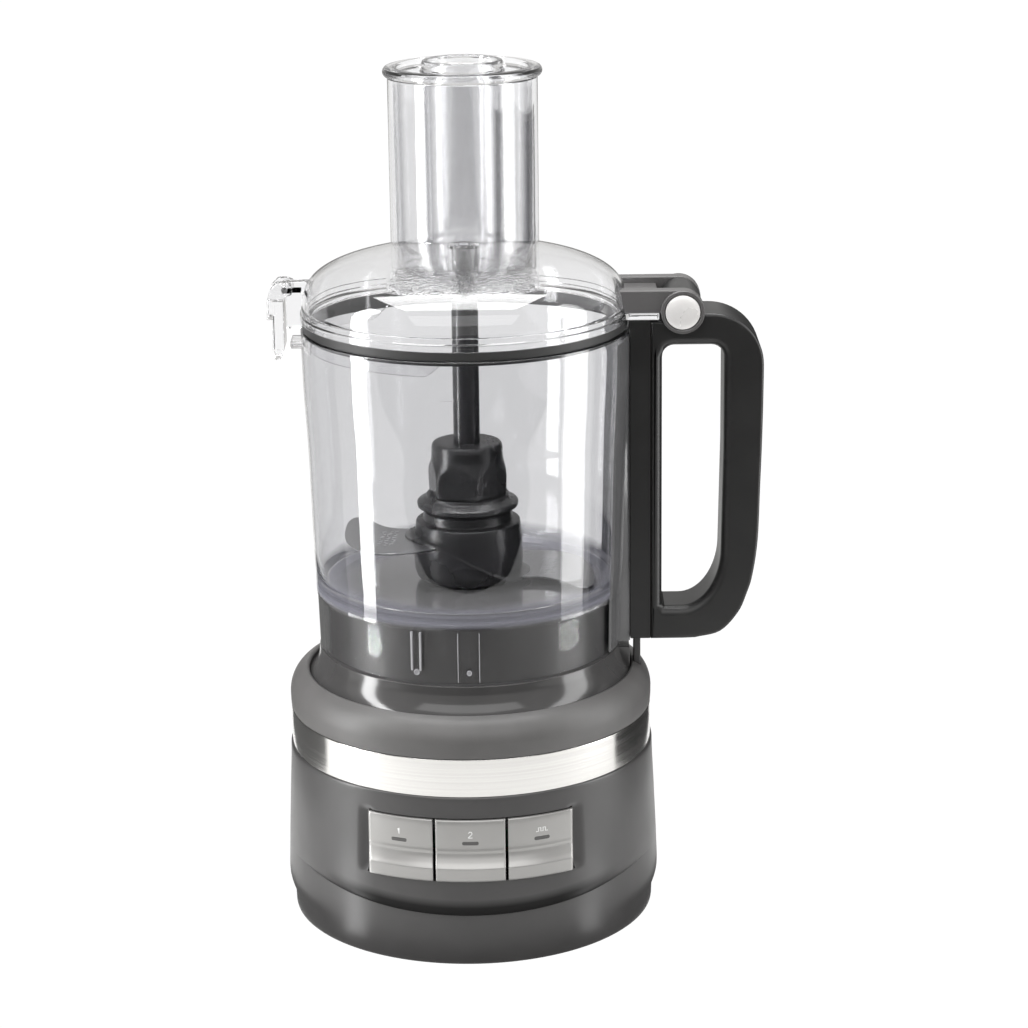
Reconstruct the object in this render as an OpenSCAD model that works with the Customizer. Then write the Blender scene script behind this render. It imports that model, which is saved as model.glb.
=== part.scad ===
// Food processor: motor base, clear bowl with handle, hinged clear lid with feed tube
// and pushers, and a lift-out knife hub on a tall drive stem.
// Millimetres. +Z is up, the origin is on the drive axis at the plane of the feet.
// The button panel faces -Y, the handle is at +X, the lid latch at -X, the feed tube at +Y.

/* [Base] */
// Radius of the lower drum of the base
base_r = 90; // [90]
// Widest radius of the upper housing, just above its lower edge
belly_r = 93.8; // [93:0.1:95]
// Height of the rubber feet below the base
foot_h = 2.5; // [2:0.1:3]
// Top of the upper housing, where the trim band starts
band_z = 89; // [88:0.5:90]
// Height of the trim band
band_h = 19; // [17:0.5:20]
// Number of rubber feet
feet_n = 4; // [3:1:5]

/* [Buttons] */
// Angle that one button takes on the housing, in degrees
button_pitch = 21.8; // [21:0.1:22]
// Bottom of the buttons
button_z0 = 47.2; // [47:0.1:48]
// Top of the buttons
button_z1 = 78; // [77.5:0.1:78.5]

/* [Bowl] */
// Outer radius of the bowl at its rim
bowl_r = 80; // [79.8:0.1:80.2]
// Height of the bowl rim above the feet
rim_z = 300; // [299.8:0.1:300.2]
// Height of the bowl floor, inside
floor_z = 171.7; // [171:0.1:172]
// Wall of the bowl
bowl_wall = 2.4; // [2:0.1:2.6]

/* [Handle] */
// Outer edge of the grip from the drive axis
grip_x = 145; // [142:0.5:148]
// Half width of the handle
handle_hw = 15; // [14.5:0.5:16]
// Bottom of the handle
handle_z0 = 144; // [143:0.5:145]
// Top of the handle
handle_z1 = 307.5; // [307:0.1:308]

/* [Lid] */
// Height of the inside of the dome rim
dome_z = 304; // [303.9:0.1:304.1]
// Rise of the dome
dome_h = 38.5; // [37.5:0.1:39]
// Outer radius of the feed tube
tube_r = 37; // [36.8:0.1:37]
// Distance from the drive axis to the feed tube axis
tube_y = 45; // [45:0.1:45.4]
// Top of the feed tube
tube_z1 = 415.4; // [405:0.1:420]

/* [Drive] */
// Tooth module of the gears
gear_m = 1; // [1]
// Teeth of the motor pinion
pinion_n = 12; // [12]
// Teeth of the large wheel of the idler
idler_n = 44; // [44]
// Teeth of the small wheel of the idler
step_n = 14; // [14]
// Teeth of the drive gear
drive_n = 46; // [46]
// Distance from the drive axis to the motor axis
motor_y = 34; // [34]

/* [Knife] */
// Radius of the knife hub
hub_r = 27; // [26:0.1:27.5]
// Reach of the blade tips from the axis
blade_reach = 65; // [62:0.5:68]

/* [Hidden] */
$fn = 96;

housing_grey = [0.33, 0.34, 0.36];
black = [0.12, 0.12, 0.13];
steel = [0.76, 0.77, 0.79];
clear = [0.85, 0.88, 0.92, 0.35];
silver = [0.66, 0.67, 0.69];

plate_z1 = foot_h + 3;
lower_in_r = base_r - 2.8;
neck_z1 = band_z + band_h;
plate_screw_r = 83.5;
gland_z = 24;
pin_x = 105;
pin_z = 309.5;
latch_x = -86.8;
latch_z = 320;
axle_r = 86.5;
axle_z = 75;
button_half = button_pitch / 2 - 0.35;
button_angles = [-button_pitch, 0, button_pitch];
lens_z = 66.5;
stem_r = 6.5;
column_z1 = 222;
tip_slot = 3.4;

// Gear places, worked out from the tooth counts so that every pair meshes
stage1 = gear_m * (pinion_n + idler_n) / 2;
stage2 = gear_m * (step_n + drive_n) / 2;
idler_y = (stage2 * stage2 - stage1 * stage1 + motor_y * motor_y) / (2 * motor_y);
idler_x = sqrt(stage2 * stage2 - idler_y * idler_y);
to_motor = atan2(motor_y - idler_y, -idler_x);
to_drive = atan2(-idler_y, -idler_x);
gear_low_z = 80;
gear_high_z = 89.5;

// ---------- shared shapes ----------

module tube(r_out, r_in, z0, z1) {
  translate([0, 0, z0])
    difference() {
      cylinder(r = r_out, h = z1 - z0);
      translate([0, 0, -1])
        cylinder(r = r_in, h = z1 - z0 + 2);
    }
}

module rod(r, z0, z1) {
  translate([0, 0, z0])
    cylinder(r = r, h = z1 - z0);
}

// A box given by its lowest and highest corners
module box(lo, hi) {
  translate(lo)
    cube(hi - lo);
}

// A cylinder along Y, centred on the plane Y = 0
module cross_pin(r, x, z, half) {
  translate([x, half, z])
    rotate([90, 0, 0])
      cylinder(r = r, h = 2 * half);
}

// A wedge of the plane between two angles, 0 at the front and positive towards +X
module wedge(a0, a1, z0, z1) {
  reach = 120;
  steps = 6;
  translate([0, 0, z0])
    linear_extrude(z1 - z0)
      polygon(concat([[0, 0]], [for (i = [0 : steps])
        let (a = a0 + (a1 - a0) * i / steps) [reach * sin(a), -reach * cos(a)]]));
}

function at_front(r, a) = [r * sin(a), -r * cos(a), 0];

// Involute gear outline, tooth 0 centred on +X
function inv_deg(alpha) = tan(alpha) * 180 / PI - alpha;
function gear_pt(r, a) = [r * cos(a), r * sin(a)];
function flank_angle(rp, n, rho) =
  let (rb = rp * cos(20), slack = 0.07 / rp * 180 / PI)
    90 / n - slack + inv_deg(20) - (rho > rb ? inv_deg(acos(rb / rho)) : 0);
function gear_outline(n, addendum) =
  let (rp = gear_m * n / 2, root = rp - 1.2 * gear_m, tip = rp + addendum,
       mid = [for (i = [0 : 3]) max(root, rp * cos(20)) * (1 - i / 3) + tip * i / 3])
    [for (k = [0 : n - 1], side = [-1, 1], i = [0 : 4])
      let (rho = side < 0 ? (i == 0 ? root : mid[i - 1]) : (i == 4 ? root : mid[3 - i]))
        gear_pt(rho, 360 * k / n + side * flank_angle(rp, n, rho))];

module gear(n, addendum, h, bore) {
  difference() {
    linear_extrude(h)
      polygon(gear_outline(n, addendum));
    translate([0, 0, -1])
      cylinder(r = bore, h = h + 2);
  }
}

// ---------- base: casings ----------

module foot_places() {
  children();
  for (i = [0 : feet_n - 1])
    rotate([0, 0, 45 + 360 * i / feet_n])
      translate([68, 0, 0])
        children();
}

module plate_screw_places() {
  for (a = [20, 110, 200, 290])
    rotate([0, 0, a])
      translate([plate_screw_r, 0, 0])
        children();
}

module feet() {
  color(black)
    foot_places() {
      cylinder(r1 = 6.6, r2 = 7.4, h = foot_h);
      rod(8, foot_h - 0.6, foot_h + 1.1);
    }
}

module base_plate() {
  slots = 9;
  color(housing_grey)
    difference() {
      rod(lower_in_r - 0.4, foot_h, plate_z1);
      foot_places()
        rod(8, foot_h - 1, foot_h + 1.1);
      plate_screw_places() {
        rod(1.7, 0, 10);
        rod(3, 0, foot_h + 1.8);
      }
      for (i = [0 : slots - 1])
        box([-22, motor_y - 20 + i * 5, 0], [22, motor_y - 17.8 + i * 5, 10]);
    }
}

module base_screws() {
  color(steel)
    plate_screw_places() {
      difference() {
        rod(2.9, foot_h + 0.3, foot_h + 1.8);
        box([-2, -0.4, 0], [2, 0.4, foot_h + 1]);
      }
      rod(1.6, foot_h + 1.8, 15);
    }
}

module gland_hole(r) {
  translate([0, 60, gland_z])
    rotate([-90, 0, 0])
      cylinder(r = r, h = 50);
}

module lower_housing() {
  color(housing_grey)
    difference() {
      union() {
        rotate_extrude()
          polygon([[lower_in_r, foot_h], [base_r - 1.6, foot_h], [base_r - 0.2, foot_h + 1.4],
                   [base_r, foot_h + 3], [base_r, 44], [lower_in_r, 44]]);
        intersection() {
          rod(base_r - 1, plate_z1 + 0.1, 20);
          plate_screw_places()
            rod(4.2, plate_z1 + 0.1, 20);
        }
      }
      plate_screw_places()
        rod(1.6, 0, 16);
      gland_hole(7);
    }
}

// Outline of the arch above the front of the lower drum
function arch_z(x) = 40 - 26 * pow(abs(x) / 93, 10);

module front_arch() {
  difference() {
    rotate([90, 0, 0])
      linear_extrude(100)
        polygon(concat([[-92, -1]], [for (x = [-92 : 8 : 92]) [x, arch_z(x)]], [[92, -1]]));
    rod(base_r + 0.1, 0, 28);
    translate([0, 0, 28])
      cylinder(r1 = base_r + 0.7, r2 = belly_r - 0.5, h = 12);
    rod(belly_r + 2, 39.99, 45);
  }
}

module upper_housing() {
  in_r = base_r + 0.1;
  color(housing_grey)
    difference() {
      rotate_extrude()
        polygon([[in_r, 3.4], [in_r + 0.7, 3.6], [92.8, 8.5], [93.5, 12], [belly_r, 16],
                 [93.5, 28], [93, 42], [92.5, 55], [91.9, 68], [91.3, 80], [91, band_z],
                 [88.95, band_z], [88.95, neck_z1], [87, neck_z1], [87, 100], [85.5, 100],
                 [85.5, 96], [88.9, 92], [88.9, 54], [in_r, 50]]);
      front_arch();
      wedge(-1.5 * button_pitch - 0.25, 1.5 * button_pitch + 0.25, button_z0 - 0.5, button_z1 + 0.6);
      gland_hole(7);
    }
}

module trim_band() {
  color(steel)
    tube(90.2, 89, band_z + 0.05, neck_z1 - 0.05);
}

module shoulder_cover() {
  rc = 79.9;
  zc = 115;
  color(housing_grey)
    difference() {
      rotate_extrude()
        polygon(concat(
          [[88.2, neck_z1], [90, neck_z1], [90.4, 111.5]],
          [for (t = [0 : 12 : 72]) [rc + 10.6 * cos(t), zc + 12.5 * sin(t)]],
          [[81.4, 127.3], [80.6, 126.2], [80.6, 121.5]],
          [for (t = [72 : -12 : 0]) [rc + 8 * cos(t), zc + 8.6 * sin(t)]]));
      box([81.5, -4.9, 110], [85.7, 4.9, 130]);
    }
}

module bowl_seat() {
  deck_z = 166;
  color(housing_grey)
    difference() {
      union() {
        rotate_extrude()
          polygon([[80.3, 124], [80.3, 125.6], [78.4, 127.6], [76.6, 130.6], [75.5, 134.4],
                   [75, 139.4], [74.4, 140], [72.6, 140.2], [72.6, 163.2], [71.8, 165.2],
                   [70, deck_z], [8.8, deck_z], [8.8, 172], [7.2, 172], [7.2, 158],
                   [9.6, 158], [9.6, deck_z - 2.6], [68.8, deck_z - 2.6], [69.8, 162],
                   [69.8, 137], [72.4, 132], [75.6, 126], [77, 120], [77, 103], [79.4, 103],
                   [79.4, 124]]);
        intersection() {
          box([73.9, -8.5, 125], [79.8, 8.5, 136.6]);
          rod(80.2, 120, 140);
        }
      }
    }
}

module cord_gland() {
  color(black)
    translate([0, 0, gland_z])
      rotate([-90, 0, 0])
        difference() {
          union() {
            rod(6.95, 85, 93.8);
            rod(9, 83.5, 86.6);
            translate([0, 0, 93.8])
              cylinder(r1 = 8.6, r2 = 7.4, h = 2.6);
          }
          rod(3.6, 80, 100);
        }
}

// ---------- base: gearbox ----------

module gear_pocket(grow, z0, z1) {
  rod(drive_n * gear_m / 2 + 2.4 + grow, z0, z1);
  translate([idler_x, idler_y, 0])
    rod(idler_n * gear_m / 2 + 2.4 + grow, z0, z1);
  translate([0, motor_y, 0])
    rod(10 + grow, z0, z1);
}

module chassis_plate() {
  color(silver)
    difference() {
      union() {
        rod(86.8, 100, 103);
        rod(14, 97.5, 107);
      }
      rod(11, 90, 110);
      translate([idler_x, idler_y, 0])
        rod(3, 95, 101.5);
    }
}

module gearbox_housing() {
  color(black)
    difference() {
      union() {
        gear_pocket(2.2, 74, 99.9);
        rod(14, 70, 77);
        translate([0, motor_y, 0])
          rod(12.5, 71, 77);
        box([-43, motor_y - 7, 74], [43, motor_y + 7, 77]);
      }
      gear_pocket(0, 77, 110);
      rod(11, 60, 78);
      rod(14.3, 97.2, 110);
      translate([0, motor_y, 0])
        rod(9, 60, 78);
      translate([idler_x, idler_y, 0])
        rod(3, 75.5, 78);
    }
}

module spindle_bearings() {
  color(steel) {
    tube(11, 5.04, 70.5, 77);
    tube(11, 5.04, 99, 106);
    tube(7.2, 5.04, 160, 171);
  }
}

module idler_shaft() {
  color(steel)
    translate([idler_x, idler_y, 0])
      rod(2.98, 75.6, 101.4);
}

module idler_gear() {
  color("whitesmoke")
    translate([idler_x, idler_y, 0]) {
      translate([0, 0, gear_low_z])
        rotate([0, 0, to_drive])
          gear(step_n, gear_m, gear_high_z - gear_low_z + 0.01, 3.04);
      translate([0, 0, gear_high_z])
        rotate([0, 0, to_motor])
          gear(idler_n, 0.75 * gear_m, 7, 3.04);
    }
}

module drive_gear() {
  color("whitesmoke")
    translate([0, 0, gear_low_z])
      rotate([0, 0, to_drive + 180 + 180 / drive_n])
        gear(drive_n, 0.85 * gear_m, 8, 5);
}

module drive_spindle() {
  color(steel) {
    rod(4.99, 70.5, 172);
    translate([0, 0, 172])
      cylinder(r = 4.85, h = 32, $fn = 6);
    translate([0, 0, 204])
      cylinder(r1 = 4, r2 = 2.6, h = 2);
  }
}

// ---------- base: motor ----------

module on_motor() {
  translate([0, motor_y, 0])
    children();
}

module motor_stator() {
  color("dimgray")
    on_motor()
      difference() {
        intersection() {
          rod(33, 28, 58);
          box([-33, -29.5, 0], [33, 29.5, 80]);
        }
        rod(19.6, 20, 70);
      }
}

module field_coils() {
  color("chocolate")
    on_motor()
      for (z = [20.4, 58.1], a = [0, 180])
        rotate([0, 0, a])
          intersection() {
            tube(30.5, 21, z, z + 7.4);
            wedge(-48, 48, z, z + 7.4);
          }
}

module motor_bracket() {
  color(silver)
    on_motor()
      difference() {
        union() {
          box([-41, -9, 18.6], [41, 9, 20.2]);
          rod(11, 18.6, 25);
          for (x = [-38, 38])
            translate([x, 0, 0])
              rod(3, 18.6, 73.9);
        }
        rod(8, 10, 30);
      }
}

module motor_bearings() {
  color(steel)
    on_motor() {
      tube(8, 4.04, 19.5, 24.8);
      tube(9, 4.04, 71.5, 76.6);
    }
}

module brush_holders() {
  color(black)
    on_motor()
      for (a = [0, 180])
        rotate([0, 0, a])
          difference() {
            box([13, -5.5, 60], [29, 5.5, 73.9]);
            box([12, -3.1, 62], [30, 3.1, 68.2]);
          }
}

module carbon_brushes() {
  color("darkslategray")
    on_motor()
      for (a = [0, 180])
        rotate([0, 0, a])
          box([9.1, -3, 62.1], [25, 3, 68.1]);
}

module motor_shaft() {
  color(steel)
    on_motor()
      rod(3.99, 8, 98.5);
}

module armature() {
  slots = 12;
  color("slategray")
    on_motor()
      difference() {
        union() {
          rod(19, 29, 57);
          rod(15.5, 25.6, 60);
        }
        rod(4, 20, 65);
        for (i = [0 : slots - 1])
          rotate([0, 0, 360 * i / slots])
            box([16.5, -0.9, 20], [20, 0.9, 70]);
      }
}

module commutator() {
  color("peru")
    on_motor()
      tube(9, 4, 60.6, 69.6);
}

module cooling_fan() {
  vanes = 9;
  color(black)
    on_motor()
      difference() {
        union() {
          rod(30, 9, 10.6);
          rod(7, 9, 17);
          for (i = [0 : vanes - 1])
            rotate([0, 0, 360 * i / vanes])
              box([6, -0.8, 10], [29, 0.8, 16.5]);
        }
        rod(4, 0, 20);
      }
}

module motor_pinion() {
  color(steel)
    on_motor()
      translate([0, 0, gear_high_z])
        rotate([0, 0, to_motor + 180 + 180 / pinion_n])
          gear(pinion_n, gear_m, 7, 4);
}

// ---------- base: controls ----------

module circuit_board() {
  color("darkgreen")
    box([-42, -57.6, 50], [42, -56, 80]);
}

module microswitches() {
  side = 74 * sin(button_pitch);
  color(black) {
    for (x = [-side, 0, side]) {
      box([x - 6, -66, 51], [x + 6, -57.7, 61]);
      box([x - 1.2, abs(x) > 1 ? -67.4 : -71.5, 55], [x + 1.2, -66, 57]);
    }
    box([80, -8.5, 103.1], [86.3, 8.5, 111]);
    translate([83.6, 0, 111])
      cylinder(r = 1.1, h = 4);
  }
}

module button_frame() {
  color(black) {
    intersection() {
      tube(88.7, 83.5, 79.4, 84);
      wedge(-1.5 * button_pitch - 1.2, 1.5 * button_pitch + 1.2, 79, 85);
    }
    difference() {
      for (k = [-1.5, -0.5, 0.5, 1.5])
        rotate([0, 0, k * button_pitch])
          box([-1.7, -88.7, 71.6], [1.7, -83.6, 79.5]);
      button_pins();
    }
    for (x = [-40, 40])
      box([x - 2, -77, 79.4], [x + 2, -57.7, 83.4]);
    box([-42, -60, 80.2], [42, -57.7, 83.4]);
    box([-42, -57.8, 80.1], [42, -54, 82]);
  }
}

module button_pins() {
  half = axle_r * tan(button_pitch / 2) - 0.5;
  color(steel)
    for (a = button_angles)
      rotate([0, 0, a])
        translate([-half, -axle_r, axle_z])
          rotate([0, 90, 0])
            cylinder(r = 1.2, h = 2 * half);
}

// One key, turned to its place on the panel
module button(a) {
  rotate([0, 0, a])
    difference() {
      union() {
        intersection() {
          rotate_extrude()
            polygon([[90.4, button_z0], [93.4, button_z0], [95.4, 49.6], [96, 53], [95.8, 56.4],
                     [94.8, 60], [93.5, 62.6], [92.9, 66], [92.6, 70], [92.5, 74],
                     [92.1, button_z1], [90.4, button_z1]]);
          wedge(-button_half, button_half, 40, 90);
        }
        box([-11, -90.8, 72.6], [11, -axle_r, 77.4]);
        translate([-11, -axle_r, axle_z])
          rotate([0, 90, 0])
            cylinder(r = 2.4, h = 22);
        box([-2, -90.8, 52], [2, -74.6, 58]);
      }
      translate([-20, -axle_r, axle_z])
        rotate([0, 90, 0])
          cylinder(r = 1.25, h = 40);
      box([-4, -97, lens_z - 1], [4, -91.6, lens_z + 1]);
    }
}

module lens(a) {
  rotate([0, 0, a])
    box([-3.95, -93, lens_z - 0.95], [3.95, -91.65, lens_z + 0.95]);
}

module button_1() {
  color(silver)
    button(-button_pitch);
}

module button_2() {
  color(silver)
    button(0);
}

module button_pulse() {
  color(silver)
    button(button_pitch);
}

module lens_1() {
  color("gray")
    lens(-button_pitch);
}

module lens_2() {
  color("gray")
    lens(0);
}

module lens_pulse() {
  color("gray")
    lens(button_pitch);
}

// ---------- bowl and handle ----------

// Half profile of the inside of the bowl, from the column to the rim
bowl_in = [[12, column_z1], [12, floor_z], [69.5, floor_z], [72.4, floor_z + 1.2],
           [73.6, floor_z + 4], [74.3, 190], [75.5, 239], [bowl_r - bowl_wall, rim_z]];

module bowl() {
  color(clear)
    difference() {
      union() {
        rotate_extrude()
          polygon(concat(bowl_in, [[bowl_r, rim_z], [79.4, 270],
            [77.9, 239], [76.7, 190], [75.9, 172], [75.9, 167.4], [75.4, 166.6],
            [74.7, 140.8], [73, 140.8], [73, floor_z - 3.4], [9.2, floor_z - 3.4],
            [9.2, 214], [9.2, column_z1]]));
        difference() {
          box([70, -13, 140.8], [79.8, 13, 297]);
          rod(bowl_r - 4.6, 130, floor_z - 1);
          rod(bowl_r - 3.6, floor_z - 2, 310);
        }
        difference() {
          box([-84.8, -7, 290.5], [-77, 7, 294.5]);
          rod(bowl_r - 1.2, 280, 300);
        }
      }
      rod(72.95, 120, floor_z - 3.45);
    }
}

module column_bush() {
  color(black)
    tube(9.2, stem_r + 0.06, 213, column_z1);
}

module handle_mount() {
  color(black)
    difference() {
      box([79.9, -14, handle_z0], [90, 14, 304]);
      box([81.5, -4.9, handle_z0 - 1], [85.7, 4.9, 293]);
    }
}

function arc_pts(cx, cz, rx, rz, a0, a1, n) =
  [for (i = [0 : n]) let (a = a0 + (a1 - a0) * i / n) [cx + rx * cos(a), cz + rz * sin(a)]];

module handle_outline() {
  polygon(concat([[90.05, handle_z0]],
    arc_pts(104, 192, grip_x - 104.5, 192 - handle_z0, -90, 0, 10),
    [[grip_x, 238]],
    arc_pts(119, 283, grip_x - 119.5, handle_z1 - 283, 0, 90, 8),
    [[98, handle_z1], [98, 304], [90.05, 304]]));
}

module handle_window() {
  polygon(concat([[95.5, 166]],
    arc_pts(105, 192, 19.5, 26, -90, 0, 8),
    [[125.5, 240]],
    arc_pts(120, 285, 5.4, 5.5, 0, 90, 4),
    arc_pts(100, 286, 4.5, 4.5, 90, 180, 4)));
}

module handle() {
  color(black)
    difference() {
      union() {
        translate([0, handle_hw, 0])
          rotate([90, 0, 0])
            linear_extrude(2 * handle_hw)
              difference() {
                handle_outline();
                handle_window();
              }
        cross_pin(10.2, pin_x, pin_z, 12.6);
      }
      cross_pin(3, pin_x, pin_z, 30);
      for (s = [-1, 1])
        translate([0, s * 17.7, 0])
          cross_pin(11.4, pin_x, pin_z, 5);
    }
}

module hinge_pin() {
  color(steel)
    cross_pin(2.98, pin_x, pin_z, 20.2);
}

module hinge_caps() {
  color(steel)
    for (s = [-1, 1])
      translate([pin_x, s * 20.3, pin_z])
        rotate([-90 * s, 0, 0])
          rotate_extrude()
            polygon([[0, 0], [8.4, 0], [8.4, 0.5], [7.6, 1.1], [5.6, 1.5], [0, 1.8]]);
}

module interlock_rod() {
  color(housing_grey)
    box([81.9, -4.5, 118], [85.3, 4.5, 286]);
}

// ---------- lid ----------

function dome_pt(t, off) =
  [(79 - off) * pow(cos(t), 0.945), dome_z + (dome_h - off) * pow(sin(t), 0.931)];

module dome_solid(off) {
  rotate_extrude()
    polygon(concat([[0, 290], [79 - off, 290]],
      [for (t = [0 : 6 : 84]) dome_pt(t, off)],
      [[0, dome_z + dome_h - off]]));
}

// The space of the feed tube above its slanted lower end
module tube_space(r) {
  translate([0, tube_y, 0])
    difference() {
      rod(r, 300, tube_z1);
      translate([-60, -tube_r, 314])
        rotate([-atan(8 / (2 * tube_r)), 0, 0])
          translate([0, -20, -60])
            cube([120, 140, 60]);
    }
}

module lid() {
  color(clear)
    difference() {
      union() {
        difference() {
          union() {
            dome_solid(0);
            rotate_extrude()
              polygon([[0, 304.7], [bowl_r, 304.7], [bowl_r, 308], [79.4, 308.5],
                       [79.3, 310.6], [78.6, 311], [0, 311]]);
            translate([0, tube_y, 0])
              rod(tube_r + 1.4, 304.7, 308);
            box([70, -19, 305.5], [93.8, 19, 308.9]);
            box([-88.4, -3, latch_z - 3], [-70, 3, latch_z + 3]);
            box([-86.6, -3, 299.5], [-79, 3, latch_z]);
            cross_pin(2.9, latch_x, latch_z, 3);
          }
          difference() {
            dome_solid(2.2);
            rod(100, 280, 304.69);
          }
          rod(76.8, 280, 304.75);
          difference() {
            rod(80.3, 280, 304.7);
            rod(76, 270, 310);
          }
        }
        tube(76.2, 74.6, 292, 306.8);
        tube(78.4, 74.6, 304.7, 306.8);
        rod(7.8, 326, 341.8);
      }
      rod(5.9, 320, 337);
      rod(5, 330, 350);
      difference() {
        tube_space(tube_r + 0.05);
        rod(7.8, 300, 360);
      }
      intersection() {
        translate([0, tube_y, 0])
          rod(tube_r - 2.2, 300, 330);
        rod(74.6, 290, 330);
      }
      cross_pin(1.52, latch_x, latch_z, 5);
    }
}

module feed_tube() {
  color(clear)
    difference() {
      tube_space(tube_r);
      translate([0, tube_y, 0])
        rod(tube_r - 2.2, 290, 420);
      rod(7.85, 300, 360);
    }
}

module lid_hinge_bracket() {
  color(housing_grey)
    difference() {
      union() {
        for (s = [-1, 1]) {
          box([70, s * 16.5 - 3.5, 309], [pin_x, s * 16.5 + 3.5, 320.5]);
          translate([0, s * 16.5, 0])
            cross_pin(10.6, pin_x, pin_z, 3.5);
        }
        box([70, -14, 309], [93.6, 14, 317]);
      }
      cross_pin(3.06, pin_x, pin_z, 30);
      dome_solid(-0.15);
      rod(79.6, 300, 311.1);
    }
}

module lid_seal() {
  color(black)
    tube(79.2, 76.3, 300.4, 304.6);
}

module lid_bush() {
  color(black)
    difference() {
      union() {
        rod(5.85, 326, 337);
        rod(4.95, 337, 338.5);
      }
      rod(4.2, 320, 334);
    }
}

module latch_pin() {
  color(steel)
    cross_pin(1.5, latch_x, latch_z, 8.4);
}

module latch() {
  color(clear)
    difference() {
      union() {
        rotate([90, 0, 0])
          translate([0, 0, -8.5])
            linear_extrude(17)
              polygon([[-87.6, 318], [-87.6, 291], [-89.4, 285.6], [-92.4, 285.2], [-93.3, 287],
                       [-93.3, 305], [-95.7, 305], [-95.5, 314], [-94.2, 319.6],
                       [-90.8, 323.2], [-86.8, 323.6]]);
        cross_pin(3.6, latch_x, latch_z, 8.5);
      }
      cross_pin(1.54, latch_x, latch_z, 10);
      box([-100, -tip_slot, 313.5], [-80, tip_slot, 330]);
    }
}

// ---------- pushers ----------

module large_pusher() {
  color(clear)
    translate([0, tube_y, 0])
      difference() {
        union() {
          translate([0, 0, 319])
            cylinder(r1 = 33.6, r2 = 34.4, h = 97.5);
          rotate_extrude()
            polygon([[32.2, 415.8], [38.6, 415.8], [39.3, 417], [39.3, 419.6], [38.4, 421.2],
                     [36.6, 422], [32.6, 422]]);
        }
        difference() {
          translate([0, 0, 321.4])
            cylinder(r1 = 31.4, r2 = 32.4, h = 101);
          rod(21, 310, 418);
        }
        rod(19, 310, 430);
      }
}

module small_pusher() {
  color(clear)
    translate([0, tube_y, 0])
      difference() {
        union() {
          translate([0, 0, 319.6])
            cylinder(r1 = 18.2, r2 = 18.7, h = 99);
          rotate_extrude()
            polygon([[15, 418.4], [19.8, 418.4], [20.2, 419.2], [20.2, 421.6], [19.6, 422.6],
                     [18.4, 423], [15, 423]]);
        }
        translate([0, 0, 321.6])
          cylinder(r1 = 16.2, r2 = 16.8, h = 110);
      }
}

// ---------- knife ----------

module drive_stem() {
  color(black)
    difference() {
      union() {
        rod(stem_r, 174, 313);
        translate([0, 0, 313])
          cylinder(r1 = stem_r, r2 = 5, h = 1.5);
        rod(2.8, 314, 330);
      }
      translate([0, 0, 170])
        cylinder(r = 5.12, h = 38, $fn = 6);
    }
}

// Plan of a sickle blade, pointing to +X
module sickle(thick) {
  n = 10;
  linear_extrude(thick)
    difference() {
      polygon(concat(
        [for (i = [0 : n]) let (t = i / n)
          [4 + (blade_reach - 5) * t, 25 - 12 * t - 24 * t * t]],
        [[blade_reach - 0.4, -17]],
        [for (i = [0 : n]) let (t = 1 - i / n)
          [4 + (blade_reach - 8) * t, -25 + 2 * t + 5 * t * t]]));
      circle(r = 16);
    }
}

module upper_blade() {
  color(steel)
    translate([0, 0, 192])
      rotate([0, 0, 180])
        sickle(1.4);
}

module lower_blade() {
  color(steel)
    translate([0, 0, 177])
      sickle(1.4);
}

module blade_hub() {
  color(black)
    difference() {
      rotate_extrude()
        polygon([[13.2, floor_z + 0.6], [hub_r - 0.6, floor_z + 0.6], [hub_r, floor_z + 1.4],
                 [hub_r, 200.6], [hub_r - 0.8, 202.4], [22.4, 203.4], [22, 205], [22, 208],
                 [25, 210], [25.3, 212.6], [24, 214.4], [20.4, 215.6], [13.2, 215.6]]);
      upper_blade();
      lower_blade();
    }
}

module hub_grip() {
  ribs = 12;
  color(black)
    difference() {
      union() {
        translate([0, 0, 215.7])
          cylinder(r1 = 18.2, r2 = 19.8, h = 14);
        translate([0, 0, 229.7])
          cylinder(r1 = 19.8, r2 = 17.6, h = 12);
      }
      rod(stem_r + 0.06, 210, 250);
      rod(13.2, 210, column_z1 + 2);
      for (i = [0 : ribs - 1])
        rotate([0, 0, 360 * (i + 0.5) / ribs])
          translate([21.6, 0, 210])
            cylinder(r = 2.6, h = 25);
    }
}

// ---------- output ----------

feet();
base_plate();
base_screws();
lower_housing();
upper_housing();
trim_band();
shoulder_cover();
bowl_seat();
chassis_plate();
gearbox_housing();
motor_stator();
field_coils();
motor_bracket();
brush_holders();
carbon_brushes();
motor_bearings();
idler_shaft();
spindle_bearings();
circuit_board();
microswitches();
button_frame();
button_pins();
cord_gland();
motor_shaft();
armature();
commutator();
cooling_fan();
motor_pinion();
idler_gear();
drive_gear();
drive_spindle();
button_1();
lens_1();
button_2();
lens_2();
button_pulse();
lens_pulse();
bowl();
column_bush();
handle_mount();
handle();
hinge_pin();
hinge_caps();
interlock_rod();
lid();
feed_tube();
lid_hinge_bracket();
lid_seal();
lid_bush();
latch_pin();
latch();
large_pusher();
small_pusher();
drive_stem();
blade_hub();
hub_grip();
upper_blade();
lower_blade();
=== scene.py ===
"""Visual model of a food processor: motor base, clear bowl, hinged lid, pushers and knife.

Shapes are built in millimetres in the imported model's frame (+Z up, origin on the drive axis
at the plane of the feet, button panel at -Y, handle at +X) and scaled to metres at the end.
"""
import math

import bmesh
import bpy
from mathutils import Matrix, Vector
from mathutils.geometry import tessellate_polygon


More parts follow.
